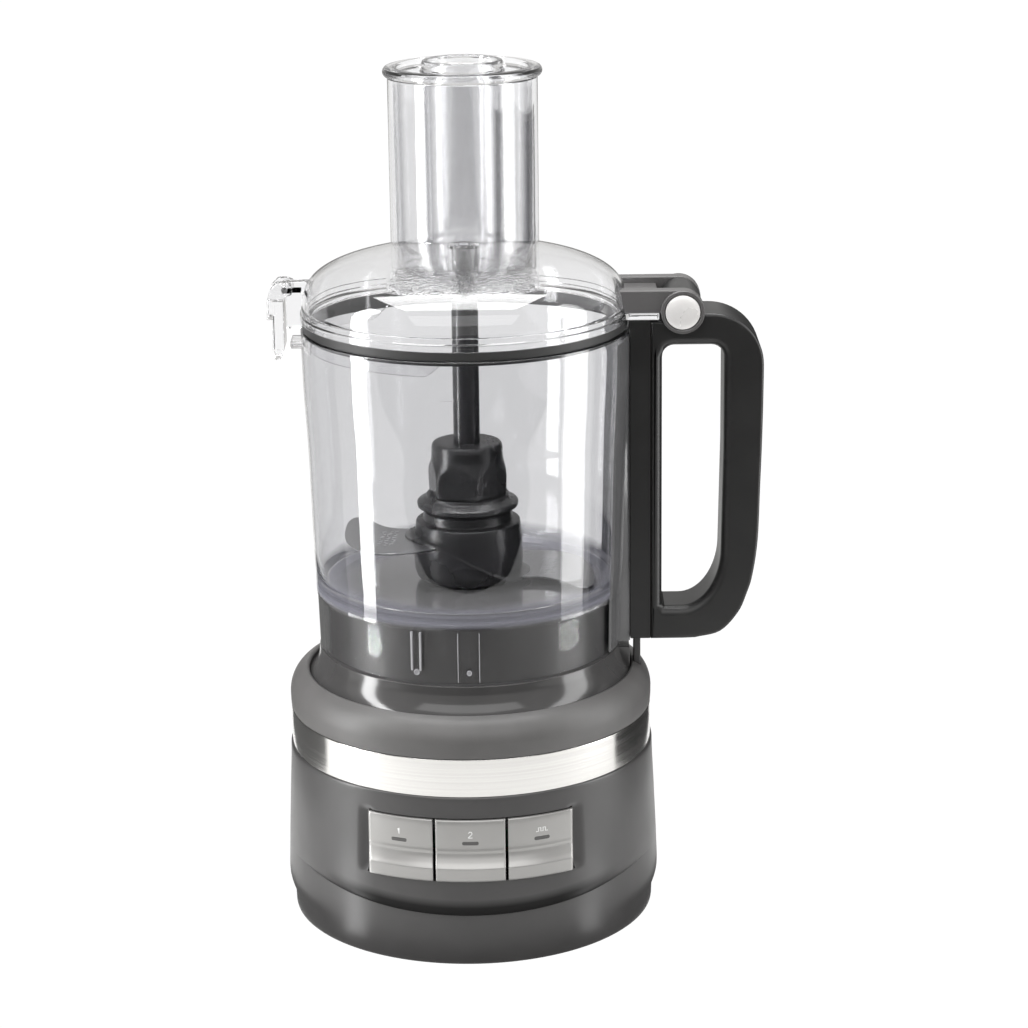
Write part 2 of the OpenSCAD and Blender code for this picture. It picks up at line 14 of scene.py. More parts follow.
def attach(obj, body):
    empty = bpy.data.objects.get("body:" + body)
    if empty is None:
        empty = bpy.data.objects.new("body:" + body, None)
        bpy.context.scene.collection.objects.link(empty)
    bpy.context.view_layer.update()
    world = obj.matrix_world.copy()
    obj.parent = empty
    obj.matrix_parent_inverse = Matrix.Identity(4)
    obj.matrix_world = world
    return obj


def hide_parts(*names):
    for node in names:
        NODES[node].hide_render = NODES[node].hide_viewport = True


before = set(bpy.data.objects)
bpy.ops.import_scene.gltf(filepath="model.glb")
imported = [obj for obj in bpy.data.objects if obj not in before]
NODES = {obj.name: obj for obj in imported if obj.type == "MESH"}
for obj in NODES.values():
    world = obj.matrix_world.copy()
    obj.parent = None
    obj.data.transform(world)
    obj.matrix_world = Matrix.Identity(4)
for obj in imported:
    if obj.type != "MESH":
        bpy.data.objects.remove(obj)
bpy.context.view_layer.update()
MM = 0.001


# ---------------------------------------------------------------- camera

def add_object(name, data):
    """A new object in the scene."""
    made = bpy.data.objects.new(name, data)
    bpy.context.scene.collection.objects.link(made)
    return made


def make_camera():
    """The photograph's view: slightly right of the drive axis, looking 16 degrees down."""
    data = bpy.data.cameras.new("camera")
    data.lens = 107.02
    data.sensor_width = 36.0
    camera = add_object("camera", data)
    pitch = math.radians(16.26)
    roll = math.radians(-0.69)
    forward = Vector((0, math.cos(pitch), -math.sin(pitch)))
    right = Vector((1, 0, 0))
    up = right.cross(forward)
    side = math.cos(roll) * right + math.sin(roll) * up
    top = math.cos(roll) * up - math.sin(roll) * right
    turn = Matrix((side, top, -forward)).transposed().to_4x4()
    turn.translation = (0.0228, -1.455, 0.6281)
    camera.matrix_world = turn
    bpy.context.scene.camera = camera


make_camera()


# ---------------------------------------------------------------- numbers shared by pieces

BAND_Z = (89.05, 107.95)
PIN_X, PIN_Z = 105.0, 309.5
LATCH_X, LATCH_Z = -86.8, 320.0
TUBE_Y, TUBE_R, TUBE_TOP = 45.0, 37.0, 415.4
TUBE_WALL = 2.2
DOME_Z, DOME_RISE, DOME_R = 304.0, 35.2, 78.9
KEY_PITCH = 21.8    # degrees round the drive axis
KEY_HALF = KEY_PITCH / 2 - 0.35


# ---------------------------------------------------------------- small maths

def smoothstep(x):
    """0 below 0, 1 above 1, and an S between them."""
    x = min(1.0, max(0.0, x))
    return x * x * (3 - 2 * x)


def polar(r, a, z):
    """A point at radius r and angle a in degrees: 0 at the front (-Y), positive towards +X."""
    t = math.radians(a)
    return (r * math.sin(t), -r * math.cos(t), z)


def arc(cx, cy, rx, ry, a0, a1, n):
    """Points of an ellipse from angle a0 to a1 in degrees."""
    out = []
    for i in range(n + 1):
        t = math.radians(a0 + (a1 - a0) * i / n)
        out.append((cx + rx * math.cos(t), cy + ry * math.sin(t)))
    return out


def spaced(a, b, n):
    """n + 1 values from a to b."""
    return [a + (b - a) * i / n for i in range(n + 1)]


def corner(before, here, after, radius, n):
    """The corner at here cut to an arc of n steps, always n + 1 points."""
    p = Vector(here)
    back = Vector(before) - p
    ahead = Vector(after) - p
    if back.length < 1e-6 or ahead.length < 1e-6:
        return [tuple(p)] * (n + 1)
    angle = back.angle(ahead)
    if angle > math.pi - 0.01 or radius <= 0:
        return [tuple(p)] * (n + 1)
    reach = min(radius / math.tan(angle / 2), 0.48 * back.length, 0.48 * ahead.length)
    a = p + back.normalized() * reach
    b = p + ahead.normalized() * reach
    out = []
    for i in range(n + 1):
        t = i / n
        out.append(tuple((1 - t) ** 2 * a + 2 * t * (1 - t) * p + t * t * b))
    return out


def rounded(points, radius=0.4, n=4, closed=True):
    """An outline whose corners are arcs. A point's third number is its own radius."""
    out = []
    count = len(points)
    for i, p in enumerate(points):
        own = p[2] if len(p) > 2 else radius
        if (not closed and i in (0, count - 1)) or own <= 0:
            out.append(tuple(p[:2]))
            continue
        before = points[i - 1][:2]
        after = points[(i + 1) % count][:2]
        bend = (Vector(before) - Vector(p[:2])).angle(Vector(after) - Vector(p[:2]))
        if bend > math.pi - 0.12:
            out.append(tuple(p[:2]))
        else:
            out += corner(before, p[:2], after, own, n)
    return out


def curve_through(points, per=6):
    """A smooth (Catmull-Rom) path through points, ends included."""
    pts = [Vector(p) for p in points]
    pts = [2 * pts[0] - pts[1]] + pts + [2 * pts[-1] - pts[-2]]
    out = []
    for i in range(1, len(pts) - 2):
        a, b, c, d = pts[i - 1], pts[i], pts[i + 1], pts[i + 2]
        for k in range(per):
            t = k / per
            out.append(tuple(0.5 * (2 * b + (c - a) * t + (2 * a - 5 * b + 4 * c - d) * t * t
                                    + (3 * b - 3 * c + d - a) * t ** 3)))
    out.append(tuple(pts[-2]))
    return out


def reader(points, per=10):
    """A function that reads the first number of a smooth path at its second."""
    path = curve_through(points, per)

    def read(z):
        if z <= path[0][1]:
            return path[0][0]
        for a, b in zip(path, path[1:]):
            if z <= b[1]:
                t = (z - a[1]) / (b[1] - a[1])
                return a[0] + (b[0] - a[0]) * t
        return path[-1][0]

    return read


def offset(outline, distance):
    """A closed outline moved inward by distance (outward if negative), corners mitred."""
    pts = [Vector(p) for p in outline]
    area = sum(a.x * b.y - b.x * a.y for a, b in zip(pts, pts[1:] + pts[:1]))
    side = 1.0 if area > 0 else -1.0
    out = []
    for i, p in enumerate(pts):
        a = (p - pts[i - 1]).normalized()
        b = (pts[(i + 1) % len(pts)] - p).normalized()
        na = Vector((-a.y, a.x)) * side
        nb = Vector((-b.y, b.x)) * side
        mid = na + nb
        if mid.length < 1e-6:
            mid = na
        mid.normalize()
        scale = 1.0 / max(0.35, mid.dot(na))
        out.append(tuple(p + mid * distance * scale))
    return out


# ---------------------------------------------------------------- mesh tools

def loft(rings, close_loft=True, caps=False, bm=None):
    """Quads between rings of the same number of points; each ring is a closed loop."""
    bm = bm or bmesh.new()
    grid = [[bm.verts.new(p) for p in ring] for ring in rings]
    many = len(grid)
    size = len(grid[0])
    for i in range(many if close_loft else many - 1):
        a = grid[i]
        b = grid[(i + 1) % many]
        for j in range(size):
            k = (j + 1) % size
            bm.faces.new((a[j], b[j], b[k], a[k]))
    if caps:
        bm.faces.new(list(reversed(grid[0])))
        bm.faces.new(grid[-1])
    return bm


def lathe(profile, steps=144, centre=(0, 0), bm=None):
    """A closed half profile of (r, z) turned about a vertical axis."""
    rings = []
    for i in range(steps):
        t = 2 * math.pi * i / steps
        c, s = math.cos(t), math.sin(t)
        rings.append([(centre[0] + r * c, centre[1] + r * s, z) for r, z in profile])
    return loft(rings, bm=bm)


def cross_lathe(profile, x, z, steps=72, bm=None):
    """A closed half profile of (r, y) turned about an axis along Y through (x, z)."""
    rings = []
    for i in range(steps):
        t = 2 * math.pi * i / steps
        c, s = math.cos(t), math.sin(t)
        rings.append([(x + r * c, y, z + r * s) for r, y in profile])
    return loft(rings, bm=bm)


def plate(outline, rim, place, holes=(), hole_rim=None, bm=None):
    """A slab with the given outline. rim is (inset, height) pairs round its edge, from one
    face to the other, and place turns (u, v, height) into a point."""
    bm = bm or bmesh.new()
    loops = [(list(outline), rim, 1)] + [(list(h), hole_rim or rim, -1) for h in holes]
    ends = [[], []]
    for points, edge, side in loops:
        rows = []
        for inset, height in edge:
            moved = offset(points, inset * side)
            rows.append([bm.verts.new(place(u, v, height)) for u, v in moved])
        for a, b in zip(rows, rows[1:]):
            for j in range(len(a)):
                k = (j + 1) % len(a)
                bm.faces.new((a[j], a[k], b[k], b[j]))
        flat = [offset(points, edge[i][0] * side) for i in (0, -1)]
        ends[0].append((rows[0], flat[0]))
        ends[1].append((rows[-1], flat[1]))
    for end in ends:
        verts = [v for row, _ in end for v in row]
        flat = [[Vector((u, v, 0)) for u, v in loop] for _, loop in end]
        for tri in tessellate_polygon(flat):
            try:
                bm.faces.new([verts[i] for i in tri])
            except ValueError:
                pass
    return bm


def rim_round(radius, low, high, n=4):
    """The rim of a slab between two heights, its edges rounded to radius."""
    out = []
    for i in range(n + 1):
        t = math.pi / 2 * i / n
        out.append((radius * (1 - math.sin(t)), low + radius * (1 - math.cos(t))))
    for i in range(n, -1, -1):
        t = math.pi / 2 * i / n
        out.append((radius * (1 - math.sin(t)), high - radius * (1 - math.cos(t))))
    return out


def in_xy(u, v, w):
    """Places a slab's outline in the XY plane, its height along Z."""
    return (u, v, w)


def in_xz(u, v, w):
    """Places a slab's outline in the XZ plane, its height along Y."""
    return (u, w, v)


def block(lo, hi, radius=0.4):
    """A box between two corners with all its edges rounded."""
    outline = rounded([(lo[0], lo[1]), (hi[0], lo[1]), (hi[0], hi[1]), (lo[0], hi[1])], radius, 4)
    return plate(outline, rim_round(radius, lo[2], hi[2], 3), in_xy)


def solid(bm):
    """A closed shape in millimetres, as an object that can be joined and cut."""
    bmesh.ops.remove_doubles(bm, verts=bm.verts, dist=1e-4)
    bmesh.ops.dissolve_degenerate(bm, dist=1e-5, edges=bm.edges)
    loose = [v for v in bm.verts if not v.link_faces]
    bmesh.ops.delete(bm, geom=loose, context="VERTS")
    bmesh.ops.recalc_face_normals(bm, faces=bm.faces)
    mesh = bpy.data.meshes.new("solid")
    bm.to_mesh(mesh)
    bm.free()
    return add_object("solid", mesh)


def upright(r, low, high, around, centre=(0, 0)):
    """A plain cylinder along Z, to cut with."""
    return solid(lathe([(0, low), (r, low), (r, high), (0, high)], around, centre))


def crosswise(r, low, high, x, z, around):
    """A plain cylinder along Y, to cut with."""
    return solid(cross_lathe([(0, low), (r, low), (r, high), (0, high)], x, z, around))


def combine(base, tool, operation):
    """base joined with, or cut by, tool, which is used up."""
    change = base.modifiers.new("combine", "BOOLEAN")
    change.operation = operation
    change.solver = "EXACT"
    change.object = tool
    bpy.context.view_layer.update()
    graph = bpy.context.evaluated_depsgraph_get()
    mesh = bpy.data.meshes.new_from_object(base.evaluated_get(graph))
    base.modifiers.clear()
    base.data = mesh
    bpy.data.objects.remove(tool)
    return base


def join(base, *tools):
    """base with the tools added to it."""
    for tool in tools:
        combine(base, tool, "UNION")
    return base


def cut(base, *tools):
    """base with the tools taken out of it."""
    for tool in tools:
        combine(base, tool, "DIFFERENCE")
    return base


def piece(name, shape, body, nodes, material, sharp=32):
    """Names a finished shape, scales it to metres, shades it and fixes it to its body."""
    made = solid(shape) if isinstance(shape, bmesh.types.BMesh) else shape
    made.name = name
    made.data.name = name
    made.data.transform(Matrix.Scale(MM, 4))
    made.data.shade_smooth()
    made.data.set_sharp_from_angle(angle=math.radians(sharp))
    made.data.materials.clear()
    made.data.materials.append(material)
    shade = made.modifiers.new("shade", "WEIGHTED_NORMAL")
    shade.keep_sharp = True
    shade.weight = 80
    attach(made, body)
    if nodes:
        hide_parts(*nodes)
    return made


# ---------------------------------------------------------------- materials

def node_tree(name):
    """A new material with its tree, its shader and its output."""
    made = bpy.data.materials.new(name)
    made.use_nodes = True
    tree = made.node_tree
    return made, tree, tree.nodes["Principled BSDF"], tree.nodes["Material Output"]


def feed(tree, node, inputs):
    """Sets a node's inputs to plain numbers, or links them to other nodes' outputs."""
    for name, value in inputs.items():
        if isinstance(value, (int, float, tuple)):
            node.inputs[name].default_value = value
        else:
            tree.links.new(value, node.inputs[name])


def add_node(tree, kind, output, inputs, operation=None):
    """The output of a new shader node, its inputs fed."""
    made = tree.nodes.new("ShaderNode" + kind)
    if operation:
        made.operation = operation
    feed(tree, made, inputs)
    return made.outputs[output]


def object_space(tree, stretch=(1, 1, 1)):
    """The object's own coordinates, stretched."""
    place = add_node(tree, "TexCoord", "Object", {})
    return add_node(tree, "Mapping", "Vector", {"Vector": place, "Scale": stretch})


def noise(tree, vector, scale, detail=2.0):
    """Noise of 0 to 1, scale in cycles per metre."""
    return add_node(tree, "TexNoise", "Fac", {"Vector": vector, "Scale": scale,
                                              "Detail": detail})


def between(tree, value, low, high):
    """Maps a 0 to 1 value, which noise keeps near the middle, to low..high."""
    return add_node(tree, "MapRange", "Result", {"Value": value, "From Min": 0.25,
                                                 "From Max": 0.75, "To Min": low,
                                                 "To Max": high})


def two_tone(tree, value, dark, light):
    """A colour that drifts between two tones."""
    made = tree.nodes.new("ShaderNodeValToRGB")
    ends = made.color_ramp.elements
    ends[0].position = 0.3
    ends[0].color = (*dark, 1)
    ends[1].position = 0.7
    ends[1].color = (*light, 1)
    feed(tree, made, {"Fac": value})
    return made.outputs["Color"]


def bump(tree, height, strength, distance, under=None):
    """Fine relief, distance in metres, on top of any relief under it."""
    inputs = {"Strength": strength, "Distance": distance, "Height": height}
    if under is not None:
        inputs["Normal"] = under
    return add_node(tree, "Bump", "Normal", inputs)


GRAIN_SCALE, GRAIN_DEPTH = 2600.0, 0.00003    # moulded grain: cycles per metre, metres


def moulded(name, colour, rough, spread=0.04, tone=0.08, relief=0.12, metallic=0.0,
            specular=0.5, transmission=0.0, satin_above=None):
    """A moulded, cast or painted surface: fine grain, drifting gloss and tone."""
    made, tree, shader, _ = node_tree(name)
    space = object_space(tree)
    dark = tuple(c * (1 - tone) for c in colour)
    light = tuple(c * (1 + tone) for c in colour)
    gloss = between(tree, noise(tree, space, 38.0, 4.0), rough - spread, rough + spread)
    if satin_above:
        satin = ramp_along(tree, 2, satin_above, satin_above + 0.001)
        gloss = blend(tree, satin, gloss, 0.34)
    feed(tree, shader, {
        "Base Color": two_tone(tree, noise(tree, space, 55.0, 3.0), dark, light),
        "Roughness": gloss,
        "Normal": bump(tree, noise(tree, space, GRAIN_SCALE), relief, GRAIN_DEPTH),
        "Metallic": metallic,
        "Specular IOR Level": specular,
        "Transmission Weight": transmission})
    return made


ARCH_LEAN = 0.1514    # how much the front crease rises per metre of depth


def shade_under_crease(material):
    """Paints shade under the housing's front lip, following its arch: a near black diffuse mixed over
    the recess.
    """
    tree = material.node_tree
    output = next(n for n in tree.nodes if n.type == "OUTPUT_MATERIAL")
    plain = output.inputs["Surface"].links[0].from_socket
    place = add_node(tree, "TexCoord", "Object", {})
    height = add_node(tree, "VectorMath", "Value", {0: place, 1: (0, -ARCH_LEAN, 1)},
                      "DOT_PRODUCT")
    mask = times(tree, ramp_of(tree, height, 0.0422, 0.0425),
                 ramp_of(tree, height, 0.0515, 0.0470))
    mask = times(tree, mask, ramp_along(tree, 1, -0.058, -0.082))
    # painted shade: a near black diffuse laid over the recess under the lip
    painted_dark = coloured(tree, "Diffuse", (0.012, 0.0118, 0.0118))
    feed(tree, output, {"Surface": mixed(tree, times(tree, mask, 0.92), plain, painted_dark)})
    return material


def brushed(name, colour, rough, stretch, relief=0.25, depth=0.00002, tone=0.06):
    """Brushed metal, its lines drawn out along the axes with the small stretch."""
    made, tree, shader, _ = node_tree(name)
    lines = noise(tree, object_space(tree, stretch), 1.0, 4.0)
    dark = tuple(c * (1 - tone) for c in colour)
    light = tuple(min(1.0, c * (1 + tone)) for c in colour)
    feed(tree, shader, {"Base Color": two_tone(tree, lines, dark, light),
                        "Roughness": between(tree, lines, rough * 0.8, rough * 1.2),
                        "Normal": bump(tree, lines, relief, depth),
                        "Metallic": 1.0})
    return made


def ramp_of(tree, value, start, end):
    """0 before start and 1 after end."""
    return add_node(tree, "MapRange", "Result", {"Value": value, "From Min": start,
                                                 "From Max": end})


def ramp_along(tree, axis, start, end):
    """0 before start and 1 after end along one of the object's own axes, in metres."""
    place = add_node(tree, "TexCoord", "Object", {})
    return ramp_of(tree, add_node(tree, "SeparateXYZ", axis, {"Vector": place}), start, end)


def within(tree, *limits):
    """1 within all the limits: each is an axis, where the mask is 0 and where it reaches 1."""
    mask = ramp_along(tree, *limits[0])
    for limit in limits[1:]:
        mask = times(tree, mask, ramp_along(tree, *limit))
    return mask


def ramp_out(tree, start, end):
    """0 nearer the upright axis than start and 1 beyond end, in metres."""
    away = add_node(tree, "VectorMath", "Value", {0: object_space(tree, (1, 1, 0))}, "LENGTH")
    return ramp_of(tree, away, start, end)


def times(tree, a, b):
    """The product of two values."""
    return add_node(tree, "Math", "Value", {0: a, 1: b}, "MULTIPLY")


def blend(tree, mask, low, high):
    """low where the mask is 0, and high where it is 1."""
    return add_node(tree, "Mix", "Result", {"Factor": mask, "A": low, "B": high})


def mixed(tree, mask, low, high):
    """One shader where the mask is 0 and the other where it is 1."""
    return add_node(tree, "MixShader", "Shader", {"Fac": mask, 1: low, 2: high})


def coloured(tree, kind, colour):
    """A simple shader of one colour."""
    return add_node(tree, "Bsdf" + kind, "BSDF", {"Color": (*colour, 1)})


def grey_ring_and_painted_dark_skirt(tree, surface):
    """A grey-blue diffuse ring where the bowl's floor meets its wall, and a thin, nearly open skirt
    with painted shade at its grazing edges.
    """
    ring = times(tree, within(tree, (2, 0.1685, 0.1700), (2, 0.1800, 0.1725)),
                 ramp_out(tree, 0.050, 0.073))
    ring_grey = coloured(tree, "Diffuse", (0.13, 0.13, 0.15))
    surface = mixed(tree, times(tree, ring, 0.6), surface, ring_grey)
    thin = coloured(tree, "Transparent", (0.95, 0.95, 0.95))
    facing = add_node(tree, "LayerWeight", "Facing", {})
    # painted shade: a dark diffuse where the skirt is seen edge-on, standing in for the dark edges
    # refraction gives
    painted_dark = coloured(tree, "Diffuse", (0.06, 0.06, 0.06))
    thin = mixed(tree, ramp_of(tree, facing, 0.66, 0.78), thin, painted_dark)
    low = ramp_along(tree, 2, 0.1682, 0.1670)
    return mixed(tree, times(tree, low, 0.97), surface, thin)


def painted_dark_wall_edges(tree, surface, amount):
    """Painted shade: long clear walls grey towards their grazing edges, standing in for the dark
    edges that refraction gives thick plastic.
    """
    facing = add_node(tree, "LayerWeight", "Facing", {})
    wall = within(tree, (2, 0.322, 0.326), (2, 0.414, 0.411))
    wall = times(tree, wall, ramp_of(tree, facing, 0.50, 0.82))
    # painted shade: a grey diffuse mixed in where the wall is seen edge-on
    grey = coloured(tree, "Diffuse", (0.10, 0.10, 0.105))
    return mixed(tree, times(tree, wall, amount), surface, grey)


def clear_plastic(name, tint, rough, wave, stipple=0.0, skirt=False, edge_shade=0.0):
    """Clear moulded plastic: refracting, faintly wavy, and open to lamp rays."""
    made, tree, shader, output = node_tree(name)
    space = object_space(tree)
    waves = bump(tree, noise(tree, object_space(tree, (1, 1, 0.35)), 26.0, 1.5), wave, 0.0006)
    if stipple:
        patch = within(tree, (2, 0.3285, 0.3310), (2, 0.3352, 0.3325), (1, -0.030, -0.034),
                       (0, -0.036, -0.026), (0, 0.036, 0.026))
        dots = times(tree, noise(tree, space, 900.0, 0.0), patch)
        waves = bump(tree, dots, stipple, 0.0006, waves)
    gloss = between(tree, noise(tree, space, 30.0, 3.0), rough * 0.4, rough * 1.8)
    feed(tree, shader, {"Base Color": (*tint, 1), "Transmission Weight": 1.0, "IOR": 1.5,
                        "Roughness": gloss, "Normal": waves})
    surface = shader.outputs["BSDF"]
    if skirt:
        # the skirt's grazing edges get painted shade
        surface = grey_ring_and_painted_dark_skirt(tree, surface)
    # the amount of painted shade mixed in at the walls' grazing edges
    if edge_shade:
        surface = painted_dark_wall_edges(tree, surface, edge_shade)
    lamp_ray = add_node(tree, "LightPath", "Is Shadow Ray", {})
    open_to_lamps = coloured(tree, "Transparent", (0.93, 0.93, 0.94))
    feed(tree, output, {"Surface": mixed(tree, lamp_ray, surface, open_to_lamps)})
    return made


# the housing's material carries painted shade under its front crease
HOUSING = shade_under_crease(moulded("charcoal_housing", (0.034, 0.033, 0.033), 0.34))
HINGE_GREY = moulded("charcoal_hinge", (0.060, 0.058, 0.058), 0.34)
INNER_BLACK = moulded("inner_black", (0.012, 0.012, 0.012), 0.5)
HANDLE = moulded("handle_black", (0.009, 0.0088, 0.0088), 0.36, specular=0.4, relief=0.1)
HUB = moulded("hub_black", (0.012, 0.012, 0.0125), 0.26, spread=0.04, relief=0.04)
STEM = moulded("stem_black", (0.016, 0.016, 0.017), 0.24, relief=0.08)
# Partly the shoulder's own rougher satin finish, partly painted light: twice the housing's colour
# paints in the extra light the upward-facing shoulder catches.
SHOULDER = moulded("charcoal_satin_painted_lighter", (0.068, 0.066, 0.065), 0.48)
SEAT = moulded("charcoal_gloss", (0.042, 0.041, 0.041), 0.13, spread=0.03, relief=0.04,
               satin_above=0.139)
SEAL = moulded("seal_rubber", (0.010, 0.010, 0.010), 0.55, relief=0.2)
RUBBER = moulded("foot_rubber", (0.016, 0.016, 0.016), 0.75, relief=0.3)
BAND = brushed("band_brushed", (0.66, 0.65, 0.635), 0.14, (6, 6, 1500), relief=0.05,
               depth=0.00001)
STEEL = brushed("turned_steel", (0.62, 0.62, 0.63), 0.3, (900, 900, 900))
BLADE = brushed("blade_ground", (0.22, 0.22, 0.225), 0.34, (250, 2600, 250), relief=0.2)
CAP = moulded("cap_satin", (0.60, 0.59, 0.58), 0.28, metallic=0.3, tone=0.02, relief=0.05)
BUTTON = moulded("button_silver", (0.30, 0.296, 0.289), 0.33, metallic=0.75, tone=0.02,
                 relief=0.1)
MARK = moulded("mark_white", (0.62, 0.62, 0.62), 0.5, relief=0.05)
LENS = moulded("lens_smoke", (0.055, 0.054, 0.053), 0.25, relief=0.05)
CLEAR = clear_plastic("clear_bowl", (0.82, 0.82, 0.83), rough=0.003, wave=0.04, skirt=True)
SMOKY = moulded("clear_smoky", (0.135, 0.135, 0.138), 0.2, relief=0.04, transmission=0.5)
# painted highlight: the clear ribs and studs get an opaque grey that stands in for the light their
# edges catch
RIB = moulded("rib_painted_grey", (0.24, 0.24, 0.25), 0.25, relief=0.04)
CLEAR_LID = clear_plastic("clear_lid", (0.945, 0.945, 0.95), rough=0.006, wave=0.07,
                          stipple=0.35)
# the pushers' walls carry painted shade at their grazing edges
CLEAR_PUSHER = clear_plastic("clear_pusher", (0.96, 0.96, 0.963), rough=0.006, wave=0.04,
                             edge_shade=0.6)
GEAR = moulded("gear_acetal", (0.74, 0.73, 0.70), 0.42)
COPPER = brushed("coil_copper", (0.62, 0.27, 0.12), 0.35, (300, 300, 5000), relief=0.6,
                 depth=0.0002)
IRON = brushed("laminated_iron", (0.20, 0.20, 0.21), 0.45, (40, 40, 2400), relief=0.6,
               depth=0.0002)
ZINC = moulded("cast_zinc", (0.42, 0.42, 0.43), 0.42, metallic=1.0, relief=0.4)
BOARD = moulded("board_green", (0.02, 0.12, 0.05), 0.35, tone=0.15)
CARBON = moulded("brush_carbon", (0.03, 0.03, 0.032), 0.6, relief=0.5)

CAD_FINISH = {
    "base_plate": HOUSING, "base_screws": STEEL, "chassis_plate": ZINC,
    "gearbox_housing": INNER_BLACK, "motor_stator": IRON, "field_coils": COPPER,
    "motor_bracket": ZINC, "brush_holders": INNER_BLACK, "carbon_brushes": CARBON,
    "motor_bearings": STEEL, "idler_shaft": STEEL, "spindle_bearings": STEEL,
    "circuit_board": BOARD, "microswitches": INNER_BLACK, "button_frame": INNER_BLACK,
    "button_pins": STEEL, "motor_shaft": STEEL, "armature": IRON, "commutator": COPPER,
    "cooling_fan": INNER_BLACK, "motor_pinion": STEEL, "idler_gear": GEAR,
    "drive_gear": GEAR, "drive_spindle": STEEL, "column_bush": HUB, "hinge_pin": STEEL,
    "latch_pin": STEEL, "lid_bush": HUB,
}


def finish_cad_nodes():
    """The CAD shapes that stay get a proper material in every slot."""
    for name, material in CAD_FINISH.items():
        mesh = NODES[name].data
        if not mesh.materials:
            mesh.materials.append(material)
        for i in range(len(mesh.materials)):
            mesh.materials[i] = material


# ---------------------------------------------------------------- base

HOUSING_SIDE = [(90.9, 3.6), (91.1, 9), (91.8, 12.5), (93.0, 16), (93.75, 20), (93.65, 28),
                (93.1, 42), (92.5, 55), (91.9, 68), (91.3, 80), (91.0, 89)]
housing_r = reader(HOUSING_SIDE)
WINDOW_HALF = 32.95    # degrees to each side of the front
WINDOW_LOW, WINDOW_HIGH = 46.7, 78.6
PANEL_Z = [WINDOW_LOW, 47.2, 48, 49, 51, 55, 60, 65, 70, 74, 77, 78, WINDOW_HIGH, 79.2, 79.8,
           80.4, 81.5, 83.5, 86, 88.0]
GLAND_Z = 24


def crease_height(a):
    """Height of the crease above the recessed drum: a smile that fades out at the sides."""
    return min(36.6, 28.3 + 14 * (1 - math.cos(math.radians(a))))


def recess(a):
    """1 where the drum stands back below the crease, 0 round the sides and back."""
    return 1 - smoothstep((abs(a) - 44) / 30)


def drum_r(a, z):
    """The radius below the crease."""
    return recess(a) * min(91.05, housing_r(z)) + (1 - recess(a)) * housing_r(z)


def cheek_depth(a, z):
    """How far the finger recess beside the keys sinks into the housing."""
    across = smoothstep((36.6 - abs(a)) / 3.4) * smoothstep((abs(a) - 30.5) / 2.4)
    return 2.3 * across * smoothstep((z - 45.4) / 6.5) * smoothstep((81.2 - z) / 6.0)


def housing_outline(a):
    """The housing's (r, z) section at an angle, and the index where its panel starts."""
    low = crease_height(a)
    outer = [(90.1, 2.6), (90.4, 2.6), (90.75, 2.9), (drum_r(a, 3.6), 3.6)]
    outer += [(drum_r(a, z), z) for z in (6, 9, 11, 13, 15, 17, 19, 21, 23.5, 26)]
    outer += [(drum_r(a, low) - 0.3 * recess(a), low - 0.1)]
    for step in range(11):
        t = math.radians(6 + 8.4 * step)
        z = low + 7.2 * (1 - math.cos(t))
        outer.append((drum_r(a, z) + (housing_r(z) - drum_r(a, z)) * math.sin(t), z))
    first = outer[-1][1]
    outer += [(housing_r(z), z) for z in
              [first + (46.2 - first) * (i / 11) ** 1.35 for i in range(1, 12)]]
    start = len(outer)
    outer += [(housing_r(z) - cheek_depth(a, z), z) for z in PANEL_Z]
    outer += [(90.85, 88.65), (90.5, 88.95), (90.1, 89.0), (88.95, 89.0), (88.95, 108.0),
              (87, 108), (87, 100), (85.5, 100), (85.5, 96), (88.9, 92), (88.9, WINDOW_HIGH),
              (88.9, 54), (90.0, 50), (90.0, WINDOW_LOW)]
    return outer, start


def gland_hole():
    """The cord gland's way through the back of the base."""
    return crosswise(7, 60, 110, 0, GLAND_Z, 48)


def motor_housing():
    """The upper housing with the window for the keys left open."""
    angles = [i * 2.5 for i in range(-72, 72)]
    angles = [a for a in angles if not 31 < abs(a) < 38.5]
    fine = [31.2, 32.1, WINDOW_HALF, 33.3, 33.7, 34.2, 34.7, 35.3, 35.9, 36.5, 37.2, 38.2]
    angles = sorted(angles + fine + [-a for a in fine])
    bm = bmesh.new()
    columns = []
    for a in angles:
        outer, start = housing_outline(a)
        columns.append([bm.verts.new(polar(r, a, z)) for r, z in outer])
    top = start + PANEL_Z.index(WINDOW_HIGH)
    size = len(columns[0])
    inner_top = size - 4
    inner_low = size - 1
    for i, a in enumerate(angles):
        k = (i + 1) % len(angles)
        b = angles[k]
        here, there = columns[i], columns[k]
        window = abs(a) <= WINDOW_HALF and abs(b) <= WINDOW_HALF and b > a
        for j in range(size):
            if window and (start <= j < top or inner_top <= j < inner_low):
                continue
            m = (j + 1) % size
            bm.faces.new((here[j], there[j], there[m], here[m]))
        if window:
            bm.faces.new((here[start], there[start], there[inner_low], here[inner_low]))
            bm.faces.new((here[top], there[top], there[inner_top], here[inner_top]))
    for a in (-WINDOW_HALF, WINDOW_HALF):
        column = columns[angles.index(a)]
        bm.faces.new(column[start:top + 1] + column[inner_top:inner_low + 1])
    made = cut(solid(bm), gland_hole())
    return piece("motor_housing", made, "base", ["upper_housing"], HOUSING, sharp=38)


def lower_drum():
    """The plain drum inside the upper housing, down to the feet."""
    profile = rounded([(87.2, 2.5), (90, 2.5, 0.4), (90, 43.6, 0.4), (87.2, 44)], 0.3)
    made = cut(solid(lathe(profile, 180)), gland_hole())
    return piece("lower_drum", made, "base", ["lower_housing"], HOUSING)


